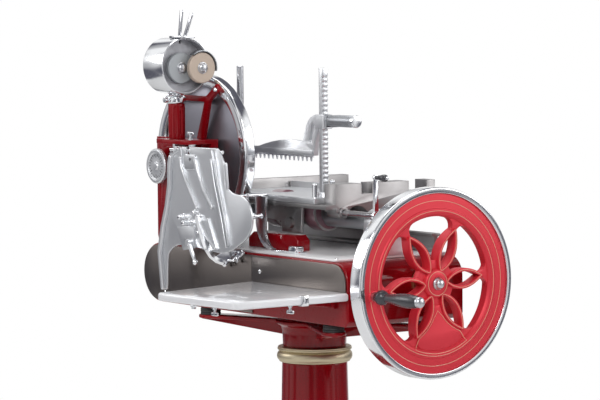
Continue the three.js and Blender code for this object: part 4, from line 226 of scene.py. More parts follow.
class Solid:
    """A closed body in the making, in millimetres of the machine's frame."""

    def __init__(self) -> None:
        """Starts with nothing in it."""
        self.bm = bmesh.new()

    # Making

    @classmethod
    def turned(
        cls, axis: Axis, profile: Sequence[Pair], centre: Triple = (0, 0, 0), steps: int = MEDIUM,
        ring: bool = False, round_by: float = 0.0,
    ) -> "Solid":
        """Turns a profile about an axis.

        Args:
            axis: axis of the turned form.
            profile: points as distance along the axis and radius.
            centre: point that the axis runs through.
            steps: facets round the form.
            ring: whether the profile closes on itself, as on a ring with a bore.
            round_by: size of the rounding on the profile's corners.

        Returns:
            The turned body.
        """
        made = cls()
        line = soften(profile, round_by, closed=ring) if round_by else list(profile)
        points = [Vector(centre) + axis.point(radius, 0, along) for along, radius in line]
        verts = [made.bm.verts.new(p) for p in points]
        edges = [made.bm.edges.new(pair) for pair in zip(verts, verts[1:])]
        if ring:
            edges.append(made.bm.edges.new((verts[-1], verts[0])))
        bmesh.ops.spin(
            made.bm, geom=verts + edges, cent=centre, axis=axis.along, dvec=(0, 0, 0),
            angle=FULL_TURN, steps=steps, use_merge=True, use_duplicate=False,
        )
        made.clean()
        return made

    @classmethod
    def rod(
        cls, axis: Axis, low: float, high: float, radius: float, centre: Triple = (0, 0, 0),
        steps: int = COARSE,
    ) -> "Solid":
        """A round bar with slightly rounded ends.

        Args:
            axis: axis that the bar lies along.
            low: where it starts along the axis.
            high: where it ends.
            radius: radius of the bar.
            centre: point that the axis runs through.
            steps: facets round the bar.

        Returns:
            The bar.
        """
        edge = min(1.0, radius * 0.15)
        profile = [(low, 0), (low, radius - edge), (low + edge, radius)]
        profile += [(high - edge, radius), (high, radius - edge), (high, 0)]
        return cls.turned(axis, profile, centre, steps)

    @classmethod
    def prism(
        cls, axis: Axis, outline: Sequence[Pair], low: float, high: float, round_by: float = 0.0,
        segments: int = 2,
    ) -> "Solid":
        """Draws an outline along an axis.

        Args:
            axis: axis that the outline is drawn along.
            outline: points across the axis.
            low: where the prism starts along the axis.
            high: where it ends.
            round_by: size of the rounding on its sharp edges.
            segments: facets in that rounding.

        Returns:
            The prism.
        """
        made = cls()
        face = made.bm.faces.new([made.bm.verts.new(axis.point(u, v, low)) for u, v in outline])
        grown = bmesh.ops.extrude_face_region(made.bm, geom=[face])["geom"]
        moved = [g for g in grown if isinstance(g, bmesh.types.BMVert)]
        bmesh.ops.translate(made.bm, verts=moved, vec=axis.along * (high - low))
        made.clean()
        if round_by:
            made.round_edges(round_by, segments)
        return made

    @classmethod
    def block(
        cls, xs: Pair, ys: Pair, zs: Pair, round_by: float = 0.0, segments: int = 2
    ) -> "Solid":
        """A box, with rounded edges where asked.

        Args:
            xs: its two ends along X.
            ys: its two ends along Y.
            zs: its two ends along Z.
            round_by: size of the rounding on its edges.
            segments: facets in that rounding.

        Returns:
            The box.
        """
        made = cls()
        middle = Matrix.Translation([(a + b) / 2 for a, b in (xs, ys, zs)])
        size = Matrix.Diagonal([b - a for a, b in (xs, ys, zs)] + [1])
        bmesh.ops.create_cube(made.bm, size=1, matrix=middle @ size)
        if round_by:
            made.round_edges(round_by, segments)
        return made

    @classmethod
    def ball(cls, centre: Triple, radius: float) -> "Solid":
        """A round ball end."""
        return cls.turned(Axis.Z, dome(0, radius, radius, range(-90, 91, 10)), centre, COARSE)

    @classmethod
    def wire(cls, points: Sequence[Triple], radius: float, closed: bool = False) -> "Solid":
        """A round wire along a line of points.

        Args:
            points: the line.
            radius: radius of the wire.
            closed: whether the last point joins the first.

        Returns:
            The wire.
        """
        curve = bpy.data.curves.new("wire", "CURVE")
        curve.dimensions = "3D"
        curve.bevel_depth = radius
        curve.bevel_resolution = 1
        curve.use_fill_caps = not closed
        spline = curve.splines.new("POLY")
        spline.points.add(len(points) - 1)
        for point, place in zip(spline.points, points):
            point.co = (*place, 1)
        spline.use_cyclic_u = closed
        holder = bpy.data.objects.new("wire", curve)
        made = cls()
        mesh = bpy.data.meshes.new_from_object(holder)
        made.bm.from_mesh(mesh)
        bpy.data.objects.remove(holder)
        bpy.data.curves.remove(curve)
        bpy.data.meshes.remove(mesh)
        made.clean()
        return made

    @classmethod
    def of_node(cls, node: bpy.types.Object, flat: float = 1.0) -> "Solid":
        """A merged copy of a CAD node.

        Args:
            node: the CAD node.
            flat: faces that meet at less than this many degrees become one.

        Returns:
            The copy, in machine millimetres.
        """
        made = cls()
        made.bm.from_mesh(node.data)
        bmesh.ops.scale(made.bm, vec=(1 / MILLIMETRE,) * 3, verts=made.bm.verts)
        bmesh.ops.translate(made.bm, vec=-MACHINE_ORIGIN, verts=made.bm.verts)
        bmesh.ops.remove_doubles(made.bm, verts=made.bm.verts, dist=0.01)
        bmesh.ops.dissolve_limit(
            made.bm, angle_limit=math.radians(flat), verts=made.bm.verts, edges=made.bm.edges
        )
        return made

    # Shaping

    def clean(self) -> "Solid":
        """Merges doubled points and turns the faces outwards.

        Returns:
            This body.
        """
        bmesh.ops.remove_doubles(self.bm, verts=self.bm.verts, dist=WELD)
        bmesh.ops.dissolve_degenerate(self.bm, dist=WELD / 10, edges=self.bm.edges)
        bmesh.ops.recalc_face_normals(self.bm, faces=self.bm.faces)
        return self

    def round_edges(self, width: float, segments: int = 2, sharp: float = 35.0) -> "Solid":
        """Rounds every edge where faces meet at a sharp angle.

        Args:
            width: size of the rounding.
            segments: facets in the rounding.
            sharp: the least angle, in degrees.

        Returns:
            This body.
        """
        limit = math.radians(sharp)
        edges = [e for e in self.bm.edges if e.is_manifold and e.calc_face_angle(0) > limit]
        bmesh.ops.bevel(
            self.bm, geom=edges, offset=width, offset_type="OFFSET", affect="EDGES",
            segments=segments, profile=0.5, material=-1, clamp_overlap=True,
        )
        return self

    def moved(self, vec: Triple) -> "Solid":
        """Moves the body."""
        bmesh.ops.translate(self.bm, vec=vec, verts=self.bm.verts)
        return self

    def leaned(self, axis: Axis, degrees: float, centre: Triple) -> "Solid":
        """Turns the body.

        Args:
            axis: axis that it turns about.
            degrees: how far it turns.
            centre: point that the axis runs through.

        Returns:
            This body.
        """
        turn = Matrix.Rotation(math.radians(degrees), 3, axis.along)
        bmesh.ops.rotate(self.bm, cent=centre, matrix=turn, verts=self.bm.verts)
        return self

    def with_loose(self, *others: "Solid") -> "Solid":
        """Adds bodies that stand apart or only touch, without merging them.

        Args:
            others: the bodies.

        Returns:
            This body.
        """
        for other in others:
            held = bpy.data.meshes.new("held")
            other.bm.to_mesh(held)
            self.bm.from_mesh(held)
            bpy.data.meshes.remove(held)
        return self

    def _holder(self) -> bpy.types.Object:
        """A short-lived object with this body's mesh.

        Returns:
            The object, which the caller removes.
        """
        mesh = bpy.data.meshes.new("held")
        self.bm.to_mesh(mesh)
        holder = bpy.data.objects.new("held", mesh)
        bpy.context.scene.collection.objects.link(holder)
        return holder

    def _combine(self, others: Sequence["Solid"], operation: str) -> "Solid":
        """Joins, cuts or trims with each of the other bodies in turn.

        Args:
            others: the other bodies.
            operation: UNION, DIFFERENCE or INTERSECT.

        Returns:
            This body.
        """
        for other in others:
            holders = [self._holder(), other._holder()]
            modifier = holders[0].modifiers.new("combine", "BOOLEAN")
            modifier.operation = operation
            modifier.solver = "EXACT"
            modifier.object = holders[1]
            graph = bpy.context.evaluated_depsgraph_get()
            result = bpy.data.meshes.new_from_object(holders[0].evaluated_get(graph))
            self.bm.clear()
            self.bm.from_mesh(result)
            bpy.data.meshes.remove(result)
            for holder in holders:
                mesh = holder.data
                bpy.data.objects.remove(holder)
                bpy.data.meshes.remove(mesh)
            bmesh.ops.remove_doubles(self.bm, verts=self.bm.verts, dist=WELD)
        return self

    def join(self, *others: "Solid") -> "Solid":
        """Merges other bodies into this one."""
        return self._combine(others, "UNION")

    def cut(self, *others: "Solid") -> "Solid":
        """Takes other bodies away from this one."""
        return self._combine(others, "DIFFERENCE")

    def trim(self, other: "Solid") -> "Solid":
        """Keeps what this body shares with another."""
        return self._combine([other], "INTERSECT")

    def mesh(self, name: str, smooth: float) -> bpy.types.Mesh:
        """The finished mesh in the row frame.

        Args:
            name: name of the mesh.
            smooth: faces that meet at less than this many degrees are shaded as one.

        Returns:
            The mesh, in metres.
        """
        bmesh.ops.translate(self.bm, vec=MACHINE_ORIGIN, verts=self.bm.verts)
        bmesh.ops.scale(self.bm, vec=(MILLIMETRE,) * 3, verts=self.bm.verts)
        mesh = bpy.data.meshes.new(name)
        self.bm.to_mesh(mesh)
        self.bm.free()
        mesh.polygons.foreach_set("use_smooth", [True] * len(mesh.polygons))
        mesh.set_sharp_from_angle(angle=math.radians(smooth))
        return mesh


# Finishes


class Slot(Enum):
    """Material slots of the record."""

    RED = "red_enamel"
    STEEL = "polished_steel"
    CAST = "cast_aluminium"
    DARK = "dark_steel"
    CHROME = "chrome"
    GOLD = "gold"
    BRONZE = "bronze"
    GRIP = "black_grip"
    WHITE = "white_enamel"
    RUBBER = "rubber"
    GREY_STONE = "grey_stone"
    TAN_STONE = "tan_stone"


class Relief(Enum):
    """Fine relief on a surface, as the name of the node group that makes it."""

    SKIN = "cast_skin"
    BRUSHED = "brush_marks"
    TURNED = "turning_marks"


def add_node(tree: bpy.types.NodeTree, kind: str, operation: str = "", **values: object) -> bpy.types.Node:
    """Adds a node to a tree.

    Args:
        tree: the tree.
        kind: type of the node, without its first word.
        operation: operation of a maths node.
        values: start values of its inputs, their names with _ for spaces.

    Returns:
        The node.
    """
    node = tree.nodes.new(f"ShaderNode{kind}")
    if operation:
        node.operation = operation
    for label, value in values.items():
        node.inputs[label.replace("_", " ")].default_value = value
    return node


def connect(tree: bpy.types.NodeTree, *links: Link) -> None:
    """Links nodes of a tree.

    Args:
        tree: the tree.
        links: a node, its output, the node that it leads to and that one's input, for each link.
    """
    for source, output, target, entry in links:
        tree.links.new(source.outputs[output], target.inputs[entry])


class Effects:
    """The node groups that the finishes share, each made on its first use."""

    def __init__(self) -> None:
        """Starts with no group made."""
        self.made: dict[str, bpy.types.NodeTree] = {}

    def _start(
        self, name: str, inputs: Sequence[tuple[str, str, object]], output: tuple[str, str]
    ) -> tuple[bpy.types.NodeTree, bpy.types.Node, bpy.types.Node]:
        """Starts a group and keeps it under its name.

        Args:
            name: name of the group.
            inputs: label, kind and start value of each input.
            output: label and kind of the output.

        Returns:
            The tree with its input and output nodes.
        """
        tree = bpy.data.node_groups.new(name, "ShaderNodeTree")
        for label, kind, start in inputs:
            socket = tree.interface.new_socket(name=label, in_out="INPUT", socket_type=f"NodeSocket{kind}")
            if start is not None:
                socket.default_value = start
        label, kind = output
        tree.interface.new_socket(name=label, in_out="OUTPUT", socket_type=f"NodeSocket{kind}")
        self.made[name] = tree
        return tree, tree.nodes.new("NodeGroupInput"), tree.nodes.new("NodeGroupOutput")

    def tone_drift(self) -> bpy.types.NodeTree:
        """A colour that drifts towards a tint in soft patches.

        Returns:
            The group, with a Color output.
        """
        if "tone_drift" in self.made:
            return self.made["tone_drift"]
        tree, given, out = self._start(
            "tone_drift",
            [("Vector", "Vector", None), ("Color", "Color", None), ("Tint", "Color", None),
             ("Scale", "Float", 12.0), ("Amount", "Float", 0.3)],
            ("Color", "Color"),
        )
        noise = add_node(tree, "TexNoise", Detail=5)
        ramp = add_node(tree, "MapRange", From_Min=0.35, From_Max=0.75)
        share = add_node(tree, "Math", "MULTIPLY")
        mix = add_node(tree, "Mix")
        mix.data_type = "RGBA"
        connect(
            tree, (given, "Vector", noise, "Vector"), (given, "Scale", noise, "Scale"),
            (noise, "Fac", ramp, "Value"), (ramp, "Result", share, 0), (given, "Amount", share, 1),
            (share, 0, mix, "Factor"), (given, "Color", mix, "A"), (given, "Tint", mix, "B"),
            (mix, "Result", out, "Color"),
        )
        return tree

    def smudges(self) -> bpy.types.NodeTree:
        """A roughness with wipe marks and fine scratches in it.

        Returns:
            The group, with a Roughness output.
        """
        if "smudges" in self.made:
            return self.made["smudges"]
        tree, given, out = self._start(
            "smudges",
            [("Vector", "Vector", None), ("Roughness", "Float", 0.3), ("Spread", "Float", 0.1),
             ("Scale", "Float", 18.0)],
            ("Roughness", "Float"),
        )
        patches = add_node(tree, "TexNoise", Detail=6, Distortion=0.8)
        finer = add_node(tree, "VectorMath", "MULTIPLY")
        finer.inputs[1].default_value = (9, 60, 60)
        hairs = add_node(tree, "TexNoise", Detail=3)
        both = add_node(tree, "Math", "ADD")
        middle = add_node(tree, "Math", "SUBTRACT")
        middle.inputs[1].default_value = 1.0
        scaled = add_node(tree, "Math", "MULTIPLY_ADD")
        scaled.use_clamp = True
        connect(
            tree, (given, "Vector", patches, "Vector"), (given, "Scale", patches, "Scale"),
            (given, "Vector", finer, 0), (finer, 0, hairs, "Vector"), (patches, "Fac", both, 0),
            (hairs, "Fac", both, 1), (both, 0, middle, 0), (middle, 0, scaled, 0),
            (given, "Spread", scaled, 1), (given, "Roughness", scaled, 2),
            (scaled, 0, out, "Roughness"),
        )
        return tree

    def relief(self, kind: Relief) -> bpy.types.NodeTree:
        """The height of a cast skin, of brush marks or of turning marks.

        Args:
            kind: which relief.

        Returns:
            The group, with Vector, Stretch and Scale inputs and a Height output.
        """
        if kind.value in self.made:
            return self.made[kind.value]
        tree, given, out = self._start(
            kind.value,
            [("Vector", "Vector", None), ("Stretch", "Vector", (1, 1, 1)), ("Scale", "Float", 400.0)],
            ("Height", "Float"),
        )
        stretch = add_node(tree, "VectorMath", "MULTIPLY")
        noise = add_node(tree, "TexNoise", Detail=4)
        connect(
            tree, (given, "Vector", stretch, 0), (given, "Stretch", stretch, 1),
            (given, "Scale", noise, "Scale"), (noise, "Fac", out, "Height"),
        )
        if kind is Relief.TURNED:
            length = add_node(tree, "VectorMath", "LENGTH")
            noise.noise_dimensions = "1D"
            connect(tree, (stretch, 0, length, 0), (length, "Value", noise, "W"))
        else:
            connect(tree, (stretch, 0, noise, "Vector"))
        return tree


@dataclass(frozen=True)
class Finish:
    """One finish of the object, from which each material is made."""

    name: str
    slot: Slot
    color: Triple
    tint: Triple
    roughness: float
    metallic: float = 0.0
    coat: float = 0.0
    drift: float = 0.25
    drift_scale: float = 14.0
    spread: float = 0.06
    relief: Relief = Relief.SKIN
    relief_scale: float = 500.0
    stretch: Triple = (1.0, 1.0, 1.0)
    depth: float = 0.00004
    specular: float = 0.5
    coat_roughness: float = 0.04

    def material(self, effects: Effects, centre: Triple | None = None) -> bpy.types.Material:
        """The node material of this finish.

        Args:
            effects: the shared node groups.
            centre: point in machine millimetres that turning marks run round.

        Returns:
            The material, made once for each finish and centre.
        """
        name = self.name if centre is None else "_".join([self.name, *(str(int(c)) for c in centre)])
        known = bpy.data.materials.get(name)
        if known:
            return known
        material = bpy.data.materials.new(name)
        material.use_nodes = True
        tree = material.node_tree
        shader = tree.nodes["Principled BSDF"]
        for label, value in (
            ("Metallic", self.metallic),
            ("Coat Weight", self.coat),
            ("Coat Roughness", self.coat_roughness),
            ("Specular IOR Level", self.specular),
        ):
            shader.inputs[label].default_value = value
        place, output = add_node(tree, "TexCoord"), "Object"
        if centre is not None:
            row = (Vector(centre) + MACHINE_ORIGIN) * MILLIMETRE
            mapping = add_node(tree, "Mapping", Location=-row)
            connect(tree, (place, output, mapping, "Vector"))
            place, output = mapping, "Vector"
        drift = self._group(
            tree, effects.tone_drift(), Color=(*self.color, 1), Tint=(*self.tint, 1),
            Scale=self.drift_scale, Amount=self.drift,
        )
        smudges = self._group(tree, effects.smudges(), Roughness=self.roughness, Spread=self.spread)
        relief = self._group(
            tree, effects.relief(self.relief), Stretch=self.stretch, Scale=self.relief_scale
        )
        bump = add_node(tree, "Bump", Distance=self.depth)
        for node in (drift, smudges, relief):
            connect(tree, (place, output, node, "Vector"))
        connect(
            tree, (drift, "Color", shader, "Base Color"),
            (smudges, "Roughness", shader, "Roughness"), (relief, "Height", bump, "Height"),
            (bump, "Normal", shader, "Normal"),
        )
        return material

    @staticmethod
    def _group(tree: bpy.types.NodeTree, group: bpy.types.NodeTree, **values: object) -> bpy.types.Node:
        """A group node in a material.

        Args:
            tree: the material's tree.
            group: the group.
            values: start values of its inputs.

        Returns:
            The node.
        """
        node = add_node(tree, "Group")
        node.node_tree = group
        for label, value in values.items():
            node.inputs[label].default_value = value
        return node


# Lit copy of the red paint: the wheel's red, brighter than the stand's copy below because the wheel faces the
# light.
RED_ENAMEL = Finish(
    "red_enamel", Slot.RED, (0.38, 0.0015, 0.006), (0.25, 0.001, 0.004), 0.34,
    coat=0.3, spread=0.05, relief_scale=240, depth=0.00003, specular=0.1,
)
# Painted shade: a darker copy of the same red paint for the column, head, base, frame, fork, pillar, guide
# bar and tray bracket, which stand in shade.
SHADED_RED_ENAMEL = Finish(
    "deep_enamel", Slot.RED, (0.28, 0.0015, 0.006), (0.16, 0.001, 0.004), 0.28,
    coat=0.5, drift_scale=6, spread=0.05, relief_scale=240, depth=0.00003, specular=0.1,
)
PINSTRIPE = Finish(
    "pinstripe_cream", Slot.WHITE, (0.80, 0.36, 0.24), (0.86, 0.50, 0.38), 0.35,
    coat=0.6, relief_scale=300, depth=0.00001,
)
GOLD_PLATE = Finish(
    "gold_plate", Slot.GOLD, (0.62, 0.54, 0.38), (0.52, 0.42, 0.27), 0.42,
    metallic=1.0, relief=Relief.TURNED, stretch=(0, 0, 1), relief_scale=900, depth=0.00002,
)
POLISHED_STEEL = Finish(
    "polished_steel", Slot.STEEL, (0.46, 0.46, 0.49), (0.32, 0.32, 0.35), 0.20,
    metallic=1.0, drift_scale=9, relief=Relief.BRUSHED, stretch=(1, 0.05, 1), relief_scale=900, depth=0.00001,
)
# Polished steel whose dark brownish tint is partly a painted reflection of the dark brown surroundings that
# the plates mirror.
SIDE_PLATE_STEEL = Finish(
    "side_plate_steel", Slot.STEEL, (0.23, 0.205, 0.19), (0.14, 0.12, 0.115), 0.30,
    metallic=1.0, drift=0.5, drift_scale=5, relief=Relief.BRUSHED, stretch=(1, 0.04, 1), relief_scale=800,
    depth=0.00002,
)
KNIFE_STEEL = Finish(
    "knife_steel", Slot.STEEL, (0.25, 0.245, 0.28), (0.18, 0.175, 0.21), 0.34,
    metallic=0.8, relief=Relief.TURNED, stretch=(0, 1, 1), relief_scale=1400, depth=0.00001,
)
CAST_ALUMINIUM = Finish(
    "cast_aluminium", Slot.CAST, (0.30, 0.295, 0.33), (0.17, 0.165, 0.195), 0.24,
    metallic=1.0, drift=0.5, drift_scale=16, spread=0.14, relief_scale=260, depth=0.00012,
)
CARRIAGE_CASTING = Finish(
    "carriage_casting", Slot.CAST, (0.33, 0.32, 0.32), (0.20, 0.19, 0.19), 0.38,
    metallic=1.0, drift=0.6, drift_scale=10, spread=0.14, relief_scale=300, depth=0.0001,
)
# Maroon paint with a painted reflection: the muted purple-brown colour and the lighter purple-grey patches
# that it drifts to stand for the reflection on the bearing's semi-glossy bell.
BEARING_ENAMEL_AND_REFLECTION = Finish(
    "bearing_enamel", Slot.RED, (0.15, 0.055, 0.075), (0.26, 0.17, 0.20), 0.34,
    coat=0.7, drift=0.8, drift_scale=30, spread=0.12, relief_scale=240, depth=0.00004,
)
DARK_STEEL = Finish(
    "dark_steel", Slot.DARK, (0.13, 0.125, 0.14), (0.07, 0.07, 0.075), 0.30,
    metallic=1.0, drift=0.5, relief=Relief.BRUSHED, stretch=(1, 0.06, 1), relief_scale=700, depth=0.00002,
)
SATIN_CHROME = Finish(
    "satin_chrome", Slot.CHROME, (0.62, 0.63, 0.65), (0.50, 0.51, 0.54), 0.34,
    metallic=1.0, drift=0.5, drift_scale=30, spread=0.1, relief_scale=300, depth=0.00003,
)
CHROME = Finish(
    "chrome", Slot.CHROME, (0.66, 0.67, 0.70), (0.52, 0.53, 0.57), 0.09,
    metallic=1.0, drift=0.3, spread=0.04, relief_scale=120, depth=0.00002,
)
DRUM_LINING = Finish(
    "drum_lining", Slot.CHROME, (0.52, 0.52, 0.55), (0.28, 0.28, 0.31), 0.48,
    metallic=0.3, drift=0.9, drift_scale=38, spread=0.14, relief_scale=260, depth=0.0001,
)
BRONZE = Finish(
    "bronze", Slot.BRONZE, (0.46, 0.30, 0.13), (0.33, 0.19, 0.08), 0.34,
    metallic=1.0, relief_scale=600,
)
BLACK_GRIP = Finish(
    "black_grip", Slot.GRIP, (0.012, 0.013, 0.015), (0.03, 0.03, 0.03), 0.24,
    coat=0.5, drift=0.4, relief=Relief.BRUSHED, stretch=(1, 0.1, 1), relief_scale=300, depth=0.00004,
)
WHITE_ENAMEL = Finish(
    "white_enamel", Slot.WHITE, (0.93, 0.93, 0.93), (0.86, 0.87, 0.88), 0.22,
    coat=0.8, drift=0.3, drift_scale=6, relief_scale=160, depth=0.00003,
)
TRAY_ENAMEL = Finish(
    "tray_enamel", Slot.WHITE, (0.88, 0.88, 0.91), (0.78, 0.79, 0.82), 0.20,
    coat=0.8, drift=0.4, drift_scale=5, relief_scale=160, depth=0.00003,
)
BLACK_RUBBER = Finish(
    "black_rubber", Slot.RUBBER, (0.035, 0.036, 0.038), (0.06, 0.06, 0.06), 0.66,
    drift=0.6, spread=0.12, relief_scale=900, depth=0.0001,
)
GREY_STONE = Finish(
    "grey_stone", Slot.GREY_STONE, (0.20, 0.23, 0.25), (0.30, 0.32, 0.33), 0.88,
    drift=1.0, drift_scale=700, relief_scale=1500, depth=0.0003,
)
TAN_STONE = Finish(
    "tan_stone", Slot.TAN_STONE, (0.34, 0.25, 0.19), (0.46, 0.36, 0.29), 0.88,
    drift=1.0, drift_scale=700, relief_scale=1500, depth=0.0003,
)


class Shop:
    """Where pieces are finished: it knows the frame and places each piece on its body."""

    def __init__(self, frame: dict) -> None:
        """Keeps the frame and makes the shared effects.
        """
        self.nodes: dict[str, bpy.types.Object] = frame["nodes"]
        self.effects = Effects()
        self.count = 0

    def place(
        self, name: str, solid: Solid, body: str, finish: Finish, replaces: Iterable[str] = (),
        smooth: float = 34.0, centre: Triple | None = None,
    ) -> bpy.types.Object:
        """Makes the object of a finished piece.

        Args:
            name: name of the piece.
            solid: its shape.
            body: CAD body that it rides on.
            finish: its finish.
            replaces: CAD nodes that it stands for.
            smooth: faces that meet at less than this many degrees are shaded as one.
            centre: point that turning marks run round.

        Returns:
            The object.
        """
        piece = bpy.data.objects.new(name, solid.mesh(name, smooth))
        bpy.context.scene.collection.objects.link(piece)
        piece.data.materials.append(finish.material(self.effects, centre))
        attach(piece, body)
        if replaces:
            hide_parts(*replaces)
        self.count += 1
        LOG.info("%s: %d faces on %s", name, len(piece.data.polygons), body)
        return piece

    def dress(self, node: str, finish: Finish) -> None:
        """Gives a CAD node that stays its finish.

        Args:
            node: the CAD node.
            finish: its finish.
        """
        data = self.nodes[node].data
        data.materials.clear()
        data.materials.append(finish.material(self.effects))
        LOG.info("%s keeps its solid", node)

    def refined(
        self, node: str, body: str, finish: Finish, width: float, name: str, segments: int = 2,
        sharp: float = 35.0,
    ) -> bpy.types.Object:
        """A piece with the shape of a CAD node, its edges rounded.

        Args:
            node: the CAD node that it copies and replaces.
            body: CAD body that it rides on.
            finish: its finish.
            width: size of the rounding.
            name: name of the piece.
            segments: facets in the rounding.
            sharp: edges sharper than this many degrees are rounded.

        Returns:
            The object.
        """
        solid = Solid.of_node(self.nodes[node]).round_edges(width, segments, sharp)
        return self.place(name, solid, body, finish, [node], sharp + 3)


# Sub-assemblies


@dataclass
class Pedestal:
    """Cast column with its foot, gold ring, four-armed head and rubber feet."""

    axis: Pair = (-53.0, 395.0)
    floor: float = -900.0
    foot_radius: float = 245.0
    foot_top: float = -750.0
    low_radius: float = 88.0
    top_radius: float = 76.0
    neck_radius: float = 66.0
    shoulder: float = -205.3
    column_top: float = -170.3
    head_bottom: float = -170.0
    head_top: float = -108.0
    head_radius: float = 74.0
    wall: float = 10.0
    feet_x: Pair = (-178.0, 72.0)
    feet_spread: float = 246.0
    foot_bottom: float = -107.7
    foot_height: float = 17.4
    foot_size: float = 24.0
    groove: float = 1.4
    bead: Pair = (80.5, 7.5)
    bead_height: float = 22.0
    flange: float = 86.8
    arm_half: float = 28.0

    def column(self) -> Solid:
        """The column with its domed foot, hollow inside.

        Returns:
            The column.
        """
        floor, top = self.floor, self.foot_top
        low, neck = self.low_radius, self.neck_radius
        outside = [
            (floor, self.foot_radius - 40), (floor, self.foot_radius), (floor + 14, self.foot_radius),
            (floor + 22, self.foot_radius - 10), (floor + 26, self.foot_radius - 26),
            (floor + 46, self.foot_radius - 62), (floor + 70, self.foot_radius - 100),
            (top - 44, low + 30), (top, low + 12), (top + 34, low + 4), (top + 38, low + 11),
            (top + 50, low + 11), (top + 54, low), (self.shoulder, self.top_radius),
            (self.shoulder, neck), (self.column_top, neck),
        ]
        inside = [
            (self.column_top, neck - self.wall), (self.shoulder - self.wall, neck - self.wall),
            (top + 20, low - self.wall), (top - 44, low + 10), (floor + 54, self.foot_radius - 96),
            (floor + 14, self.foot_radius - 40),
        ]
        return Solid.turned(Axis.Z, outside + inside, (*self.axis, 0), FINE, ring=True, round_by=4)

    def ring(self) -> Solid:
        """The gold ring: a thin flange over a full bead.

        Returns:
            The ring.
        """
        low, high, bore = self.shoulder + 0.3, self.column_top, self.neck_radius + 0.3
        middle, bulge = self.bead
        half = self.bead_height / 2
        turns = [math.radians(t) for t in range(20, 161, 10)]
        bead = [(low + half + 2 - half * math.cos(t), middle + bulge * math.sin(t)) for t in turns]
        lip = self.flange
        profile = [
            (low, bore), (low, lip - 4.8), (low + 1.5, lip - 3.8), *bead, (high - 9.5, lip - 5.3),
            (high - 8.5, lip - 2.3), (high - 6.5, lip - 0.3), (high - 4, lip), (high - 3, lip - 1.4),
            (high - 1, lip - 1), (high, lip - 2.3), (high, bore),
        ]
        return Solid.turned(Axis.Z, profile, (*self.axis, 0), FINE, ring=True)

    def feet(self) -> list[Pair]:
        """Places of the four feet."""
        ys = (self.axis[1] - self.feet_spread, self.axis[1] + self.feet_spread)
        return [(x, y) for y in ys for x in self.feet_x]

    def head(self) -> Solid:
        """The head: a flared hub and four webbed arms.

        Returns:
            The head.
        """
        top, bottom, radius = self.head_top, self.head_bottom, self.head_radius
        hub = Solid.turned(Axis.Z, [
            (top - 12, 0), (top - 12, radius - 12), (bottom, radius - 12), (bottom, radius),
            (top - 30, radius + 1), (top - 14, radius + 6), (top - 8, radius + 16), (top, radius + 16),
            (top, 0),
        ], (*self.axis, 0), FINE, round_by=3)
        root = radius - 6
        for x, y in self.feet():
            reach = math.hypot(x - self.axis[0], y - self.axis[1])
            turn = math.degrees(math.atan2(y - self.axis[1], x - self.axis[0]))
            plan = [(root, -36), *arc((reach, 0), self.arm_half, -90, 90, 16), (root, 36)]
            flange = Solid.prism(Axis.Z, plan, top - 8, top - 0.02, 2)
            side = [(root, top - 40), (reach + 22, top - 11), (reach + 22, top - 4), (root, top - 4)]
            web = Solid.prism(Axis.Y, side, -8, 8, 2)
            arm = flange.join(web).moved((*self.axis, 0)).leaned(Axis.Z, turn, (*self.axis, 0))
            hub.join(arm)
        return hub

    def rubber_foot(self, place: Pair) -> Solid:
        """A rubber foot with two grooves round it.

        Args:
            place: where it stands.

        Returns:
            The foot.
        """
        low, high, radius = self.foot_bottom, self.foot_bottom + self.foot_height, self.foot_size
        grooves: list[Pair] = []
        for z in (low + 5, low + 11):
            grooves += [(z - 1, radius), (z, radius - self.groove), (z + 1, radius)]
        return Solid.turned(Axis.Z, [
            (low, 0), (low, radius), *grooves, (high - 3, radius - 0.4), (high, radius - 3), (high, 0),
        ], (*place, 0))

    def build(self, shop: Shop) -> None:
        """Builds and dresses the pedestal.

        Args:
            shop: where its pieces are finished.
        """
        shop.place("column", self.column(), "stand", SHADED_RED_ENAMEL, ["pedestal_column"])
        shop.place("gold_ring", self.ring(), "stand", GOLD_PLATE, ["pedestal_ring"])
        shop.place("spider_head", self.head(), "stand", SHADED_RED_ENAMEL, ["pedestal_head"])
        for i, place in enumerate(self.feet(), 1):
            shop.place(f"foot_{i}", self.rubber_foot(place), "stand", BLACK_RUBBER, [f"rubber_foot_{i}"])


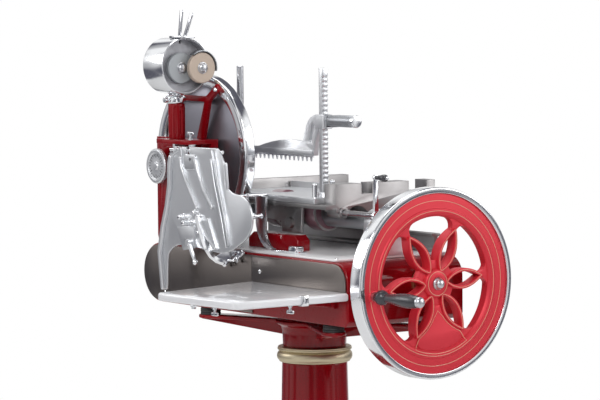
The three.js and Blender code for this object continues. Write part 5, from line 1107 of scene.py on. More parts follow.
@dataclass
class Base:
    """Hollow base casting with its polished side plates, white top plate and bushes."""

    front: float = 58.0
    back: float = 887.0
    top: float = 52.0
    bottom: float = -90.0
    left: float = -205.0
    right: float = 120.0
    wall: float = 8.0
    toe: float = 12.0
    front_round: float = 46.0
    seam: float = 425.0
    plate: float = 3.7
    top_sheet: float = 5.0
    knife_y: float = 669.0
    shaft_bracket: float = 596.0
    shaft_bore: float = 20.4
    cross_bore: float = 9.5
    pads_x: Pair = (-178.0, 72.0)
    pads_y: Pair = (149.0, 641.0)
    pad_half: float = 24.0
    cross_walls: Pair = (-176.0, -104.0)
    side_screws: tuple[Pair, ...] = ((392, 12), (450, -62), (790, 28), (790, -66), (610, -62))
    top_screws: tuple[Pair, ...] = ((-188, 122), (102, 122), (102, 460), (102, 792), (-170, 520))

    @property
    def end_y(self) -> float:
        """Centre of the round far end."""
        return self.back - (self.top - self.bottom) / 2

    def outline(self, inset: float) -> list[Pair]:
        """The base seen along X.

        Args:
            inset: how far it is drawn in.

        Returns:
            The outline.
        """
        front, top, bottom = self.front + inset, self.top - inset, self.bottom + inset
        half = (self.top - self.bottom) / 2
        bend = self.front_round - inset / 2
        return [
            (front + self.toe, bottom),
            *arc((self.end_y, self.top - half), half - inset, -90, 90, 40),
            *arc((front + bend, top - bend), bend, 90, 180, 20),
            (front, bottom + self.toe),
        ]

    def casting(self) -> Solid:
        """The shell with its bosses, pads and brackets.

        Returns:
            The casting.
        """
        body = Solid.prism(Axis.X, self.outline(0), self.left, self.right, 2.5, 3)
        inner = (self.left + self.wall, self.right - self.wall)
        hollow = Solid.prism(Axis.X, self.outline(self.wall), *inner)
        mouth_y = (self.front + self.wall + self.toe, self.end_y)
        body.cut(hollow, Solid.block(inner, mouth_y, (self.bottom - 5, self.bottom + self.wall + 5)))
        half = self.pad_half
        for x in self.pads_x:
            ends = sorted((self.left + 1, x + half) if x < 0 else (self.right - 1, x - half))
            for y in self.pads_y:
                body.join(Solid.block(ends, (y - half, y + half), (self.bottom, self.bottom + half)))
        ceiling, bracket, middle = self.top - self.wall / 2, self.shaft_bracket, self.knife_y
        body.join(Solid.block((inner[0] - 1, inner[1] + 1), (bracket, bracket + 10), (-38, ceiling)))
        for x in self.cross_walls:
            body.join(Solid.block((x, x + 10), (middle - 30, middle + 30), (-25, ceiling)))
        body.join(Solid.rod(Axis.Y, self.front + 2, self.front + 26, 34, steps=MEDIUM))
        roof = (self.top - self.wall - 1, self.top + 5)
        body.cut(
            Solid.rod(Axis.Y, self.front - 9, bracket + 20, self.shaft_bore, steps=MEDIUM),
            Solid.rod(Axis.X, -190, -85, self.cross_bore, (0, middle, 0)),
            Solid.block((inner[0], -185), (middle - 46, middle + 46), roof),
        )
        return body

    def side_plate(self, front: bool) -> Solid:
        """A polished plate on the base's left.

        Args:
            front: whether it is the one before the seam.

        Returns:
            The plate.
        """
        low = self.left - 0.3 - self.plate
        sheet = Solid.prism(Axis.X, self.outline(4), low, low + self.plate)
        wide, gap = 2000.0, 0.3
        if front:
            keep = Solid.block((-wide, wide), (-wide, self.seam - gap), (-30, wide))
        else:
            keep = Solid.block((-wide, wide), (self.seam + gap, wide), (-wide, wide))
        return sheet.trim(keep).round_edges(0.6, 2)

    def top_plate(self) -> Solid:
        """The white plate on top, cut back round the knife frame.

        Returns:
            The plate.
        """
        low = self.top + 0.3
        plan = rounded_box(self.left + 4, self.right - 4, 108, 806, 10)
        sheet = Solid.prism(Axis.Z, plan, low, low + self.top_sheet)
        sheet.cut(Solid.block((self.left - 2, -184), (535, 812), (low - 5, low + 10)))
        return sheet.round_edges(1.2, 3)

    def bush(self, front: bool) -> Solid:
        """A bronze bush, the front one with a flange.

        Args:
            front: whether it is the front one.

        Returns:
            The bush.
        """
        if front:
            profile = [(50.3, 14.3), (50.3, 29), (57.7, 29), (57.7, 20), (80, 20), (80, 14.3)]
        else:
            profile = [(594, 14.3), (594, 20), (608, 20), (608, 14.3)]
        return Solid.turned(Axis.Y, profile, ring=True, round_by=0.8)

    def screws(self) -> Solid:
        """Slotted screw heads on the side plates and the top plate.

        Returns:
            The heads.
        """
        made = Solid()
        low = self.left - 0.3 - self.plate
        for y, z in self.side_screws:
            head = Solid.turned(Axis.X, [
                (low + 1, 0), (low + 1, 5), (low - 0.6, 4.6), (low - 1.6, 2.6), (low - 1.8, 0),
            ], (0, y, z), COARSE)
            head.cut(Solid.block((low - 3, low - 1), (y - 6, y + 6), (z - 0.6, z + 0.6)))
            made.with_loose(head)
        z = self.top + 0.3 + self.top_sheet
        for x, y in self.top_screws:
            profile = [(z - 1, 0), (z - 1, 5), (z + 0.8, 4.4), (z + 1.4, 0)]
            head = Solid.turned(Axis.Z, profile, (x, y, 0), COARSE)
            head.cut(Solid.block((x - 6, x + 6), (y - 0.6, y + 0.6), (z + 0.7, z + 3)))
            made.with_loose(head)
        return made

    def build(self, shop: Shop) -> None:
        """Builds and dresses the base.

        Args:
            shop: where its pieces are finished.
        """
        shop.place("base_shell", self.casting(), "stand", SHADED_RED_ENAMEL, ["base_casting"])
        shop.place("side_plate_front", self.side_plate(True), "stand", SIDE_PLATE_STEEL, ["front_side_plate"])
        shop.place("side_plate_rear", self.side_plate(False), "stand", SIDE_PLATE_STEEL, ["rear_side_plate"])
        shop.place("white_top", self.top_plate(), "stand", WHITE_ENAMEL, ["base_top_plate"])
        shop.place("bush_front", self.bush(True), "stand", BRONZE, ["front_bush"])
        shop.place("bush_rear", self.bush(False), "stand", BRONZE, ["rear_bush"])
        shop.place("base_screws", self.screws(), "stand", CHROME)


@dataclass
class Flywheel:
    """Cast petal wheel with a bright rim, pinstripes, shaft, dome nut and handle."""

    radius: float = 215.0
    depth: float = 38.0
    rim: float = 13.0
    band_inner: float = 169.0
    ring_inner: float = 150.0
    recess: float = 4.0
    hub: float = 34.0
    petals: int = 6
    first_petal: float = 5.0
    petal_root: float = 28.0
    petal_tip: float = 133.0
    petal_half: float = 23.0
    petal_rib: float = 7.5
    window_start: float = 52.0
    window_corner: float = 24.0
    strut: float = 6.0
    weight_window: int = 4
    handle_angle: float = 186.0
    handle_radius: float = 175.0
    bead: float = 157.0
    disc: Pair = (8.0, 24.0)
    axle: float = 14.0
    axle_back: float = 653.0
    pin: float = 7.0
    pin_end: float = -156.3
    stripe: float = 0.75
    fan_tip: float = 62.0
    fan_start: float = 78.0
    fan_face: float = 5.3

    def angle(self, index: int) -> float:
        """Angle of a petal, in radians."""
        return math.radians(self.first_petal + index * 360 / self.petals)

    def half_width(self, radius: float) -> float:
        """Half a petal's width at a radius.

        Args:
            radius: distance from the wheel's middle.

        Returns:
            The half width, 0 beyond the petal.
        """
        share = (radius - self.petal_root) / (self.petal_tip - self.petal_root)
        if share <= 0 or share >= 1:
            return 0.0
        return self.petal_half * math.sin(math.pi * share**0.9) ** 0.8

    def petal(self, index: int, inset: float, steps: int = 30) -> list[Pair]:
        """Outline of a petal.

        Args:
            index: which petal.
            inset: how far the outline is drawn in.
            steps: straight steps along each side.

        Returns:
            The outline.
        """
        start, end, angle = self.petal_root + inset, self.petal_tip - inset, self.angle(index)
        sides: list[list[Pair]] = [[], []]
        for i in range(1, steps):
            radius = start + (end - start) * (1 - math.cos(math.pi * i / steps)) / 2
            half = max(0.6, self.half_width(radius) - inset)
            for side, sign in zip(sides, (-1, 1)):
                turn = angle + sign * math.atan2(half, radius)
                reach = math.hypot(radius, half)
                side.append((reach * math.cos(turn), reach * math.sin(turn)))
        tips = [(r * math.cos(angle), r * math.sin(angle)) for r in (start, end)]
        return [tips[0], *sides[0], tips[1], *sides[1][::-1]]

    def window(self, index: int, inset: float = 0.0, steps: int = 26) -> list[Pair]:
        """Outline of the opening between two petals.

        Args:
            index: the petal before the opening.
            inset: how far the outline is drawn in.
            steps: straight steps along each side.

        Returns:
            The outline.
        """
        near: list[Pair] = []
        far: list[Pair] = []
        outer = self.ring_inner - inset
        for i in range(steps + 1):
            share = 1 - (1 - i / steps) ** 2
            radius = self.window_start + inset + (outer - self.window_start - inset) * share
            into = max(0.0, radius + inset - (self.ring_inner - self.window_corner))
            fillet = self.window_corner - math.sqrt(max(0.0, self.window_corner**2 - min(into, 24) ** 2))
            neck = self.strut * min(1.0, radius / self.petal_tip)
            half = max(self.half_width(radius), neck) + fillet + inset
            swing = math.asin(min(0.99, half / radius))
            for line, turn in ((near, self.angle(index) + swing), (far, self.angle(index + 1) - swing)):
                line.append((radius * math.cos(turn), radius * math.sin(turn)))
        first, last = (math.degrees(math.atan2(p[1], p[0])) for p in (near[-1], far[-1]))
        if last < first:
            last += 360
        return near + arc((0, 0), outer, first, last, 20)[1:-1] + far[::-1]

    def rim_ring(self) -> Solid:
        """The bright rim.

        Returns:
            The rim.
        """
        inner = self.radius - self.rim
        return Solid.turned(Axis.Y, [
            (0, inner), (0, self.radius - 2), (2, self.radius), (self.depth - 2, self.radius),
            (self.depth, self.radius - 2), (self.depth, inner),
        ], steps=FINEST, ring=True, round_by=1.2)

    def casting(self) -> Solid:
        """The red casting: band, ring, petals, counterweight and hub.

        Returns:
            The casting.
        """
        inner = self.radius - self.rim - 0.05
        body = Solid.turned(Axis.Y, [
            (self.recess, inner), (self.recess, self.band_inner), (1, self.band_inner - 2),
            (1, self.bead), (7, self.ring_inner), (28, self.ring_inner), (28, self.bead),
            (20, self.band_inner), (20, 194), (35, 199), (35, inner),
        ], steps=FINEST, ring=True, round_by=2)
        front, back = self.disc
        disc = Solid.turned(Axis.Y, [
            (front, self.hub - 6), (front, self.ring_inner + 4), (back, self.ring_inner + 4),
            (back, self.hub - 6),
        ], steps=FINEST, ring=True)
        petals = range(self.petals)
        low, high = front - 5, back + 5
        openings = [Solid.prism(Axis.Y, self.window(i), low, high) for i in petals if i != self.weight_window]
        openings += [Solid.prism(Axis.Y, self.petal(i, self.petal_rib * 0.6), low, high) for i in petals]
        disc.cut(*openings).round_edges(2.2, 3, 60)
        ribs = []
        for i in petals:
            rib = Solid.prism(Axis.Y, self.petal(i, 0), 2, 30)
            rib.cut(Solid.prism(Axis.Y, self.petal(i, self.petal_rib), -3, 35))
            ribs.append(rib.round_edges(2.6, 3, 60))
        weight = Solid.prism(Axis.Y, self.window(self.weight_window, -1.5), 5.5, 34, 2, 3)
        hub = Solid.turned(Axis.Y, [
            (-3, 12), (-3, self.hub - 12), (0, self.hub - 3), (9, self.hub), (30, self.hub),
            (46, self.hub - 7), (46, 12),
        ], steps=FINE, ring=True, round_by=3)
        place = self.handle_place()
        profile = [(1, 0), (1, 13), (4, 15), (32, 15), (32, 0)]
        boss = Solid.turned(Axis.Y, profile, place, round_by=1.5)
        body.join(disc, weight, *ribs, hub, boss)
        return body.cut(
            Solid.rod(Axis.Y, -9, 60, self.axle + 0.3, steps=MEDIUM),
            Solid.rod(Axis.Y, -9, 60, self.pin + 0.4, place),
        )

    def handle_place(self) -> Triple:
        """Where the handle's pin stands on the wheel's face."""
        turn = math.radians(self.handle_angle)
        return (self.handle_radius * math.cos(turn), 0.0, self.handle_radius * math.sin(turn))

    def fan(self, steps: int = 22) -> list[Triple]:
        """Line round the counterweight: along its two petals and the bead, with sharp corners.

        Args:
            steps: straight steps along each petal.

        Returns:
            The line, its last point next to its first.
        """
        near: list[Triple] = []
        far: list[Triple] = []
        inner, outer, face, index = self.fan_start, self.bead, self.fan_face, self.weight_window
        for i in range(steps + 1):
            radius = inner + (outer - inner) * i / steps
            y = face - max(0.0, radius - self.ring_inner - 2) * 0.86
            swing = math.asin((max(self.half_width(radius), 3.0) + 4.5) / radius)
            for side, turn in ((near, self.angle(index) + swing), (far, self.angle(index + 1) - swing)):
                side.append((radius * math.cos(turn), y, radius * math.sin(turn)))
        first, last = (math.degrees(math.atan2(p[2], p[0])) for p in (near[-1], far[-1]))
        rim = [(u, near[-1][1], v) for u, v in arc((0, 0), outer, first, last, 16)[1:-1]]
        middle = (self.angle(index) + self.angle(index + 1)) / 2
        tip = (self.fan_tip * math.cos(middle), face, self.fan_tip * math.sin(middle))
        return [tip, *near, *rim, *far[::-1]]

    def stripes(self) -> Solid:
        """Fine painted lines on the petals, the counterweight, the band, the bead and the hub.

        Returns:
            The lines.
        """
        made = Solid()

        def line(outline: Sequence[Pair], y: float) -> None:
            """Adds a closed line at a depth."""
            made.with_loose(Solid.wire([(u, y, v) for u, v in outline], self.stripe, closed=True))

        for i in range(self.petals):
            line(self.petal(i, self.petal_rib / 2, 24), 1.9)
        for radius, y, last, steps in (
            (185, self.recess - 0.1, 357.5, 143), (162.5, 0.9, 357.5, 143), (26.5, -2.1, 350, 35),
        ):
            line(arc((0, 0), radius, 0, last, steps), y)
        return made.with_loose(Solid.wire(self.fan(), self.stripe, closed=True))

    def dome_nut(self) -> Solid:
        """The bright dome nut with its washer.

        Returns:
            The nut.
        """
        face = -3.3
        washer = [(face - 1, 9.3), (face, 9.3), (face, 14), (face - 2, 14), (face - 4, 12.5)]
        return Solid.turned(Axis.Y, washer + dome(face - 7, 8, 11))

    def shaft(self) -> Solid:
        """The wheel's shaft with its stepped front end.

        Returns:
            The shaft.
        """
        back, axle = self.axle_back, self.axle
        return Solid.turned(Axis.Y, [
            (-12, 0), (-12, 9), (-2, 9), (-2, axle), (back - 2, axle), (back, axle - 2), (back, 0),
        ], round_by=0.8)

    def handle_pin(self) -> Solid:
        """The pin with its collar, and the domed cap on its end.

        Returns:
            The pin.
        """
        pin, collar, end = self.pin, self.pin + 4, self.pin_end
        return Solid.turned(Axis.Y, [
            (38.3, 0), (38.3, collar), (32.3, collar), (32.3, pin), (0.7, pin), (0.7, collar), (-7.7, collar),
            (-7.7, pin), (end, pin), (end, 12), *dome(end - 4, 8, 12),
        ], self.handle_place())

    def grip(self) -> Solid:
        """The turned black grip: a ball, a neck and a long swell.

        Returns:
            The grip.
        """
        ball = dome(-25, 17, 17, range(-66, 61, 9))
        swell = [(-58, 10.2), (-72, 12), (-92, 14.4), (-112, 15.5), (-134, 15.2), (-148, 13.6), (-156, 11.5)]
        profile = [(-8, 7.3), (-8, 8.5), *ball, (-47, 9.6), *swell, (-156, 7.3)]
        return Solid.turned(Axis.Y, profile, self.handle_place(), ring=True, round_by=2.5)

    def build(self, shop: Shop) -> None:
        """Builds and dresses the wheel and its handle.

        Args:
            shop: where its pieces are finished.
        """
        shop.place("wheel_casting", self.casting(), "wheel", RED_ENAMEL, ["flywheel"], 40)
        shop.place("wheel_rim", self.rim_ring(), "wheel", CHROME, ["flywheel"])
        shop.place("wheel_stripes", self.stripes(), "wheel", PINSTRIPE)
        shop.place("wheel_axle", self.shaft(), "wheel", DARK_STEEL, ["wheel_shaft"])
        shop.place("wheel_nut", self.dome_nut(), "wheel", SATIN_CHROME, ["dome_nut"])
        shop.place("handle_stud", self.handle_pin(), "wheel", SATIN_CHROME, ["handle_pin"])
        shop.place("handle_knob", self.grip(), "grip", BLACK_GRIP, ["handle_grip"])
        for node in ("bevel_gear", "pinion_shaft", "drive_sprocket"):
            shop.dress(node, DARK_STEEL)


@dataclass
class Knife:
    """Round knife with its nut, ring guard, guard bolts, frame and fork."""

    centre: Triple = (0.0, 669.0, 269.0)
    edge: float = -163.0
    radius: float = 170.0
    dish: float = 11.0
    hub: float = 44.0
    guard_radius: float = 190.0
    guard_left: float = -184.0
    guard_right: float = -156.0
    guard_lip: float = 26.0
    bore: float = 12.3
    bolt_circle: float = 178.0
    bolt_angles: Pair = (119.0, 50.0)
    bolt_face: float = -194.8

    def blade(self) -> Solid:
        """The dished blade with its ground edge.

        Returns:
            The blade.
        """
        face, radius, hub = self.edge - self.dish, self.radius, self.hub
        return Solid.turned(Axis.X, [
            (face, self.bore), (face, hub), (self.edge - 2, radius * 0.86), (self.edge, radius),
            (self.edge - 5, radius - 11), (face, radius * 0.6), (face - 4, hub), (face - 4, self.bore),
        ], self.centre, FINEST, ring=True)

    def nut(self) -> Solid:
        """The knife nut with two spanner holes.

        Returns:
            The nut.
        """
        face, bore = self.edge - self.dish + 0.3, self.bore
        nut = Solid.turned(Axis.X, [
            (face + 7, 0), (face + 7, bore), (face, bore), (face, 26), (face + 5, 25), (face + 10, 15),
            (face + 10.5, 0),
        ], self.centre, round_by=1)
        for y in (-18, 18):
            nut.cut(Solid.rod(Axis.X, face + 3, face + 14, 2.4, (0, self.centre[1] + y, self.centre[2])))
        return nut

    def guard(self) -> Solid:
        """The chrome ring round the knife.

        Returns:
            The ring.
        """
        left, right, outer = self.guard_left, self.guard_right, self.guard_radius
        return Solid.turned(Axis.X, [
            (left, outer - self.guard_lip), (left, outer - 5), (left + 4, outer), (right - 3, outer),
            (right, outer - 3), (right, outer - 6), (right - 5, outer - 3), (left + 5, outer - 3),
            (left + 3, outer - self.guard_lip),
        ], self.centre, FINEST, ring=True, round_by=1.6)

    def guard_bolts(self) -> Solid:
        """Domed bolts that hold the guard to its fork and frame.

        Returns:
            The bolts.
        """
        made = Solid()
        face = self.bolt_face
        profile = [(face, 0), (face - 0.6, 5), (face - 5.2, 5), (face - 7.6, 3.4), (face - 8.2, 0)]
        for turn in (math.radians(t) for t in self.bolt_angles):
            y = self.centre[1] + self.bolt_circle * math.cos(turn)
            z = self.centre[2] + self.bolt_circle * math.sin(turn)
            made.with_loose(Solid.turned(Axis.X, profile, (0, y, z), COARSE, round_by=0.8))
        return made

    def build(self, shop: Shop) -> None:
        """Builds and dresses the knife and what holds it.

        Args:
            shop: where its pieces are finished.
        """
        shop.place("blade", self.blade(), "knife_set", KNIFE_STEEL, ["knife"], 24, self.centre)
        shop.place("blade_nut", self.nut(), "knife_set", CHROME, ["knife_nut"])
        shop.place("ring_guard", self.guard(), "stand", CHROME, ["knife_guard"])
        shop.place("guard_bolts", self.guard_bolts(), "stand", CHROME)
        shop.refined("knife_frame", "stand", SHADED_RED_ENAMEL, 1.8, "frame_casting")
        shop.refined("guard_fork", "stand", SHADED_RED_ENAMEL, 2.2, "fork_casting", segments=3)
        shop.dress("knife_shaft", DARK_STEEL)
        shop.dress("drive_chain", DARK_STEEL)


@dataclass
class SliceSide:
    """Deflector with its rod, fittings and screws, the side latch and the slice thickness dial."""

    x: float = -262.0
    thickness: float = 5.0
    rod_z: float = 284.0
    hangers: Pair = (600.0, 668.0)
    lugs: Pair = (500.0, 640.0)
    lip: float = 9.0
    low_relief: float = 18.0
    dial: Pair = (800.0, 238.0)
    dial_face: float = -227.0
    dial_radius: float = 42.0
    plate_face: float = -209.3
    rod_radius: float = 5.0
    rod_offset: float = 9.0
    wing_y: float = 606.0
    shelf: float = 297.7
    shelf_top: float = 308.3
    studs: tuple[tuple[float, float, float, float], ...] = (
        (624, 128, 5.5, 18), (602, 116, 6, 22), (576, 141, 4.5, 9), (558, 133, 4.5, 9), (561, 95, 4, 8),
    )

    def outline(self) -> list[Pair]:
        """The deflector's outline: a straight top, a long foot at the back and a round wing at the front.

        Returns:
            The outline.
        """
        top = self.rod_z + self.lip
        foot = [(686, 198), (697, 150), (716, 101), (731, 40), (720, -50), (701, -50), (696, 24)]
        notch = [*sweep((694, 34), (676, 58), (640, 61)), (560, 58)]
        wing = [
            *sweep((486, 52), (440, 50), (400, 74)),
            *sweep((400, 74), (350, 96), (344, 130))[1:],
            *sweep((344, 130), (344, 178), (392, 190))[1:],
            *sweep((392, 190), (444, 192), (453, 215))[1:],
        ]
        line = [(478, top), (654, top), *arc((656, top - 30), 30, 90, 0, 8), *foot, *notch, *wing, (457, 262)]
        return soften(line, 9, closed=True)

    def ribs(self) -> list[tuple[Sequence[Pair], float, float]]:
        """The deflector's ribs.

        They are low above the ledge, which passes under the frame's shelf when the plate swings.

        Returns:
            Each rib's line, width and height.
        """
        top, ledge = self.rod_z + self.lip, self.rod_z - self.low_relief
        back = [(677, 252), (679, 198), (690, 150), (709, 101), (724, 40), (712, -44)]
        return [
            ([(632, ledge), (630, 244), (610, 214), (566, 152)], 9, 7),
            ([(634, top - 5), (631, ledge - 8)], 9, 3),
            ([(572, 262), (564, 238), (540, 196), (505, 158)], 12, 6),
            ([(500.6, ledge), (488, 212), (463, 140), (443, 70)], 7, 8),
            ([(505, top - 8), (498.8, ledge - 8)], 7, 3),
            ([(485.1, ledge), (474, 212), (450, 140), (434, 74)], 5, 7),
            ([(489, top - 8), (483.5, ledge - 8)], 5, 3),
            ([(548, 118), (520, 84), (492, 62)], 8, 7),
            ([(520, 128), (502, 92), (486, 62)], 6, 5),
            ([(672, ledge), *back], 12, 9),
            ([(650, top - 8), (668, top - 16), (674, ledge - 6)], 12, 3),
            ([(440, 204), (446, 258)], 9, 4),
        ]

    def deflector(self) -> Solid:
        """The ribbed plate with its lugs, its outline softened and its edges rounded.

        Returns:
            The plate.
        """
        x, z, face = self.x, self.rod_z, self.x + 2
        plate = Solid.prism(Axis.X, self.outline(), x, x + self.thickness, 1.6, 3)
        for line, width, height in self.ribs():
            for start, end in zip(line, line[1:]):
                bar = bar_outline(start, end, width)
                plate.join(Solid.prism(Axis.X, bar, x - height, face, 0.34 * width, 3))
        plate.join(Solid.prism(Axis.X, rounded_box(569, 616, 240, 276, 10), x - 5, face, 2, 3))
        plate.join(Solid.prism(Axis.X, [(579, 57), (626, 49), (652, 102), (579, 110)], x - 3, face, 1.2, 2))
        for y in self.lugs:
            plate.join(Solid.prism(Axis.Y, rounded_box(x, x + 16, z - 9, z + 9, 3), y, y + 14))
        slot = (x - 20, x + self.thickness + 1)
        plate.cut(
            Solid.rod(Axis.Y, 440, 720, self.rod_radius + 0.4, (x + self.rod_offset, 0, z)),
            Solid.rod(Axis.X, x - 12, x + 12, 4, (0, 589, 264)),
            *(Solid.block(slot, (y - 3, y + 12), (z - 8, z + 20)) for y in self.hangers),
        )
        return plate

    def rod(self) -> Solid:
        """The hinge rod with its two hangers.

        Returns:
            The rod.
        """
        x, z = self.x + self.rod_offset, self.rod_z
        bar = Solid.rod(Axis.Y, 474, 690, self.rod_radius, (x, 0, z), MEDIUM)
        for y in self.hangers:
            hanger = [(x - 3.4, z - 6), (x + 6, z - 6), (x + 9, self.shelf), (x - 3.4, self.shelf)]
            bar.join(Solid.prism(Axis.Y, hanger, y, y + 9))
        return bar

    def screw(self, place: Triple, up: float = 1.0) -> Solid:
        """A wing screw with its washer.

        Args:
            place: where it stands.
            up: 1 where it stands up from place, -1 where it hangs under it.

        Returns:
            The screw.
        """
        x, y, z = place
        profile = [(0, 0), (0, 7), (1.2, 7), (1.6, 6), (4, 6), (5, 3.5), (14, 3.5), (14, 0)]
        stem = Solid.turned(Axis.Z, [(z + rise * up, radius) for rise, radius in profile], (x, y, 0), COARSE)
        zs = sorted((z + 11 * up, z + 19 * up))
        wing = Solid.prism(Axis.X, rounded_box(y - 13, y + 13, *zs, 3.6), x - 2, x + 2, 1, 3)
        return stem.join(wing)

    def stud(self, y: float, z: float, radius: float, length: float) -> Solid:
        """A bright stud on the deflector.

        Args:
            y: its place along the plate.
            z: its height.
            radius: radius of the stud.
            length: how far it stands out.

        Returns:
            The stud with its washer.
        """
        face = self.x + 1
        tip = face - length
        return Solid.turned(Axis.X, [
            (face, 0), (face, radius * 1.5), (face - 3, radius * 1.5), (face - 3, radius), (tip + 2, radius),
            (tip, radius * 0.7), (tip - 0.6, 0),
        ], (0, y, z), COARSE, round_by=0.6)

    def clamp(self) -> Solid:
        """The fittings on the deflector's face: studs, a slanting pin and a curved tongue.

        Returns:
            The fittings.
        """
        made = Solid().with_loose(*(self.stud(*stud) for stud in self.studs))
        x = self.x
        pin = Solid.wire([(x - 9, 592, 70), (x - 10, 578, 48), (x - 10, 564, 28)], 5)
        boss = Solid.rod(Axis.X, x - 15, x + 1, 7.5, (0, 592, 70))
        tongue = Solid.wire([
            (x - 3, 562, 132), (x - 5, 548, 106), (x - 6, 534, 82), (x - 4, 524, 60), (x + 5, 519, 43),
            (x + 18, 515, 32), (x + 32, 507, 26),
        ], 7.5)
        return made.with_loose(pin, boss, tongue, Solid.ball((x - 10, 563, 26), 7))

    def latch(self) -> Solid:
        """The leaf-shaped latch on the base's side plate, under the deflector's wing.

        Returns:
            The latch.
        """
        face = self.plate_face
        leaf = [*sweep((566, 33), (516, 66), (462, 60)), *sweep((462, 60), (446, 56), (447, 48), 5)[1:],
                *sweep((447, 48), (505, 12), (566, 33))[1:-1]]
        body = Solid.prism(Axis.X, leaf, face - 9, face - 0.3, 3, 3)
        return body.cut(Solid.rod(Axis.X, face - 20, face - 4, 4, (0, 484, 47)))

    def latch_screws(self) -> Solid:
        """The latch's wing screw and its ball end.

        Returns:
            The screws.
        """
        face = self.plate_face
        stem = Solid.turned(Axis.X, [
            (face - 8, 0), (face - 8, 6), (face - 12, 6), (face - 12, 3.4), (face - 20, 3.4), (face - 20, 0),
        ], (0, 468, 34), COARSE, round_by=0.5)
        wing = Solid.prism(Axis.Z, rounded_box(face - 30, face - 17, 455, 481, 4), 32, 36, 1, 2)
        ball = Solid.ball((face - 12, 514, 21), 7)
        return stem.with_loose(wing, ball, Solid.rod(Axis.X, face - 12, face - 4, 3.5, (0, 514, 24)))

    def dial_plate(self) -> Solid:
        """The dial on its spindle, with a knurled edge and a raised rim.

        Returns:
            The dial.
        """
        y, z = self.dial
        face, radius = self.dial_face, self.dial_radius
        disc = Solid.turned(Axis.X, [
            (-188, 0), (-188, 8), (face + 12, 8), (face + 12, radius - 2), (face + 10, radius),
            (face + 3, radius), (face, radius - 3), (face, radius - 9), (face + 2.4, radius - 11),
            (face + 2.4, 10), (face - 1, 8), (face - 1, 0),
        ], (0, y, z), FINE, round_by=0.8)
        knurls, reach = Solid(), radius + 0.6
        for turn in (math.radians(9 * i) for i in range(40)):
            place = (0, y + reach * math.cos(turn), z + reach * math.sin(turn))
            knurls.with_loose(Solid.rod(Axis.X, face - 2, face + 14, 1.6, place, 8))
        return disc.cut(knurls)

    def dial_marks(self) -> Solid:
        """Scale lines of the dial.

        Returns:
            The lines.
        """
        made = Solid()
        y, z = self.dial
        face = self.dial_face + 2.4
        for i in range(24):
            start = 20 if i % 4 == 0 else 24
            mark = Solid.block((face - 0.5, face + 0.2), (y - 0.6, y + 0.6), (z + start, z + 29))
            made.with_loose(mark.leaned(Axis.X, 15 * i, (0, y, z)))
        return made

    def build(self, shop: Shop) -> None:
        """Builds and dresses the deflector, the latch and the dial.

        Args:
            shop: where its pieces are finished.
        """
        shop.place("deflector_shield", self.deflector(), "deflector_plate", CAST_ALUMINIUM, ["deflector"], 38)
        shop.place("deflector_clamp", self.clamp(), "deflector_plate", CHROME)
        shop.place("side_latch", self.latch(), "stand", POLISHED_STEEL)
        shop.place("side_latch_screws", self.latch_screws(), "stand", CHROME)
        shop.place("deflector_bar", self.rod(), "stand", CHROME, ["deflector_rod"])
        wing = self.screw((self.x + self.rod_offset, self.wing_y, self.shelf_top))
        shop.place("deflector_wing", wing, "deflector_screw", CHROME, ["deflector_thumbscrew"])
        shop.place("dial_plate", self.dial_plate(), "dial", CAST_ALUMINIUM, ["thickness_dial"])
        shop.place("dial_marks", self.dial_marks(), "dial", BLACK_GRIP)


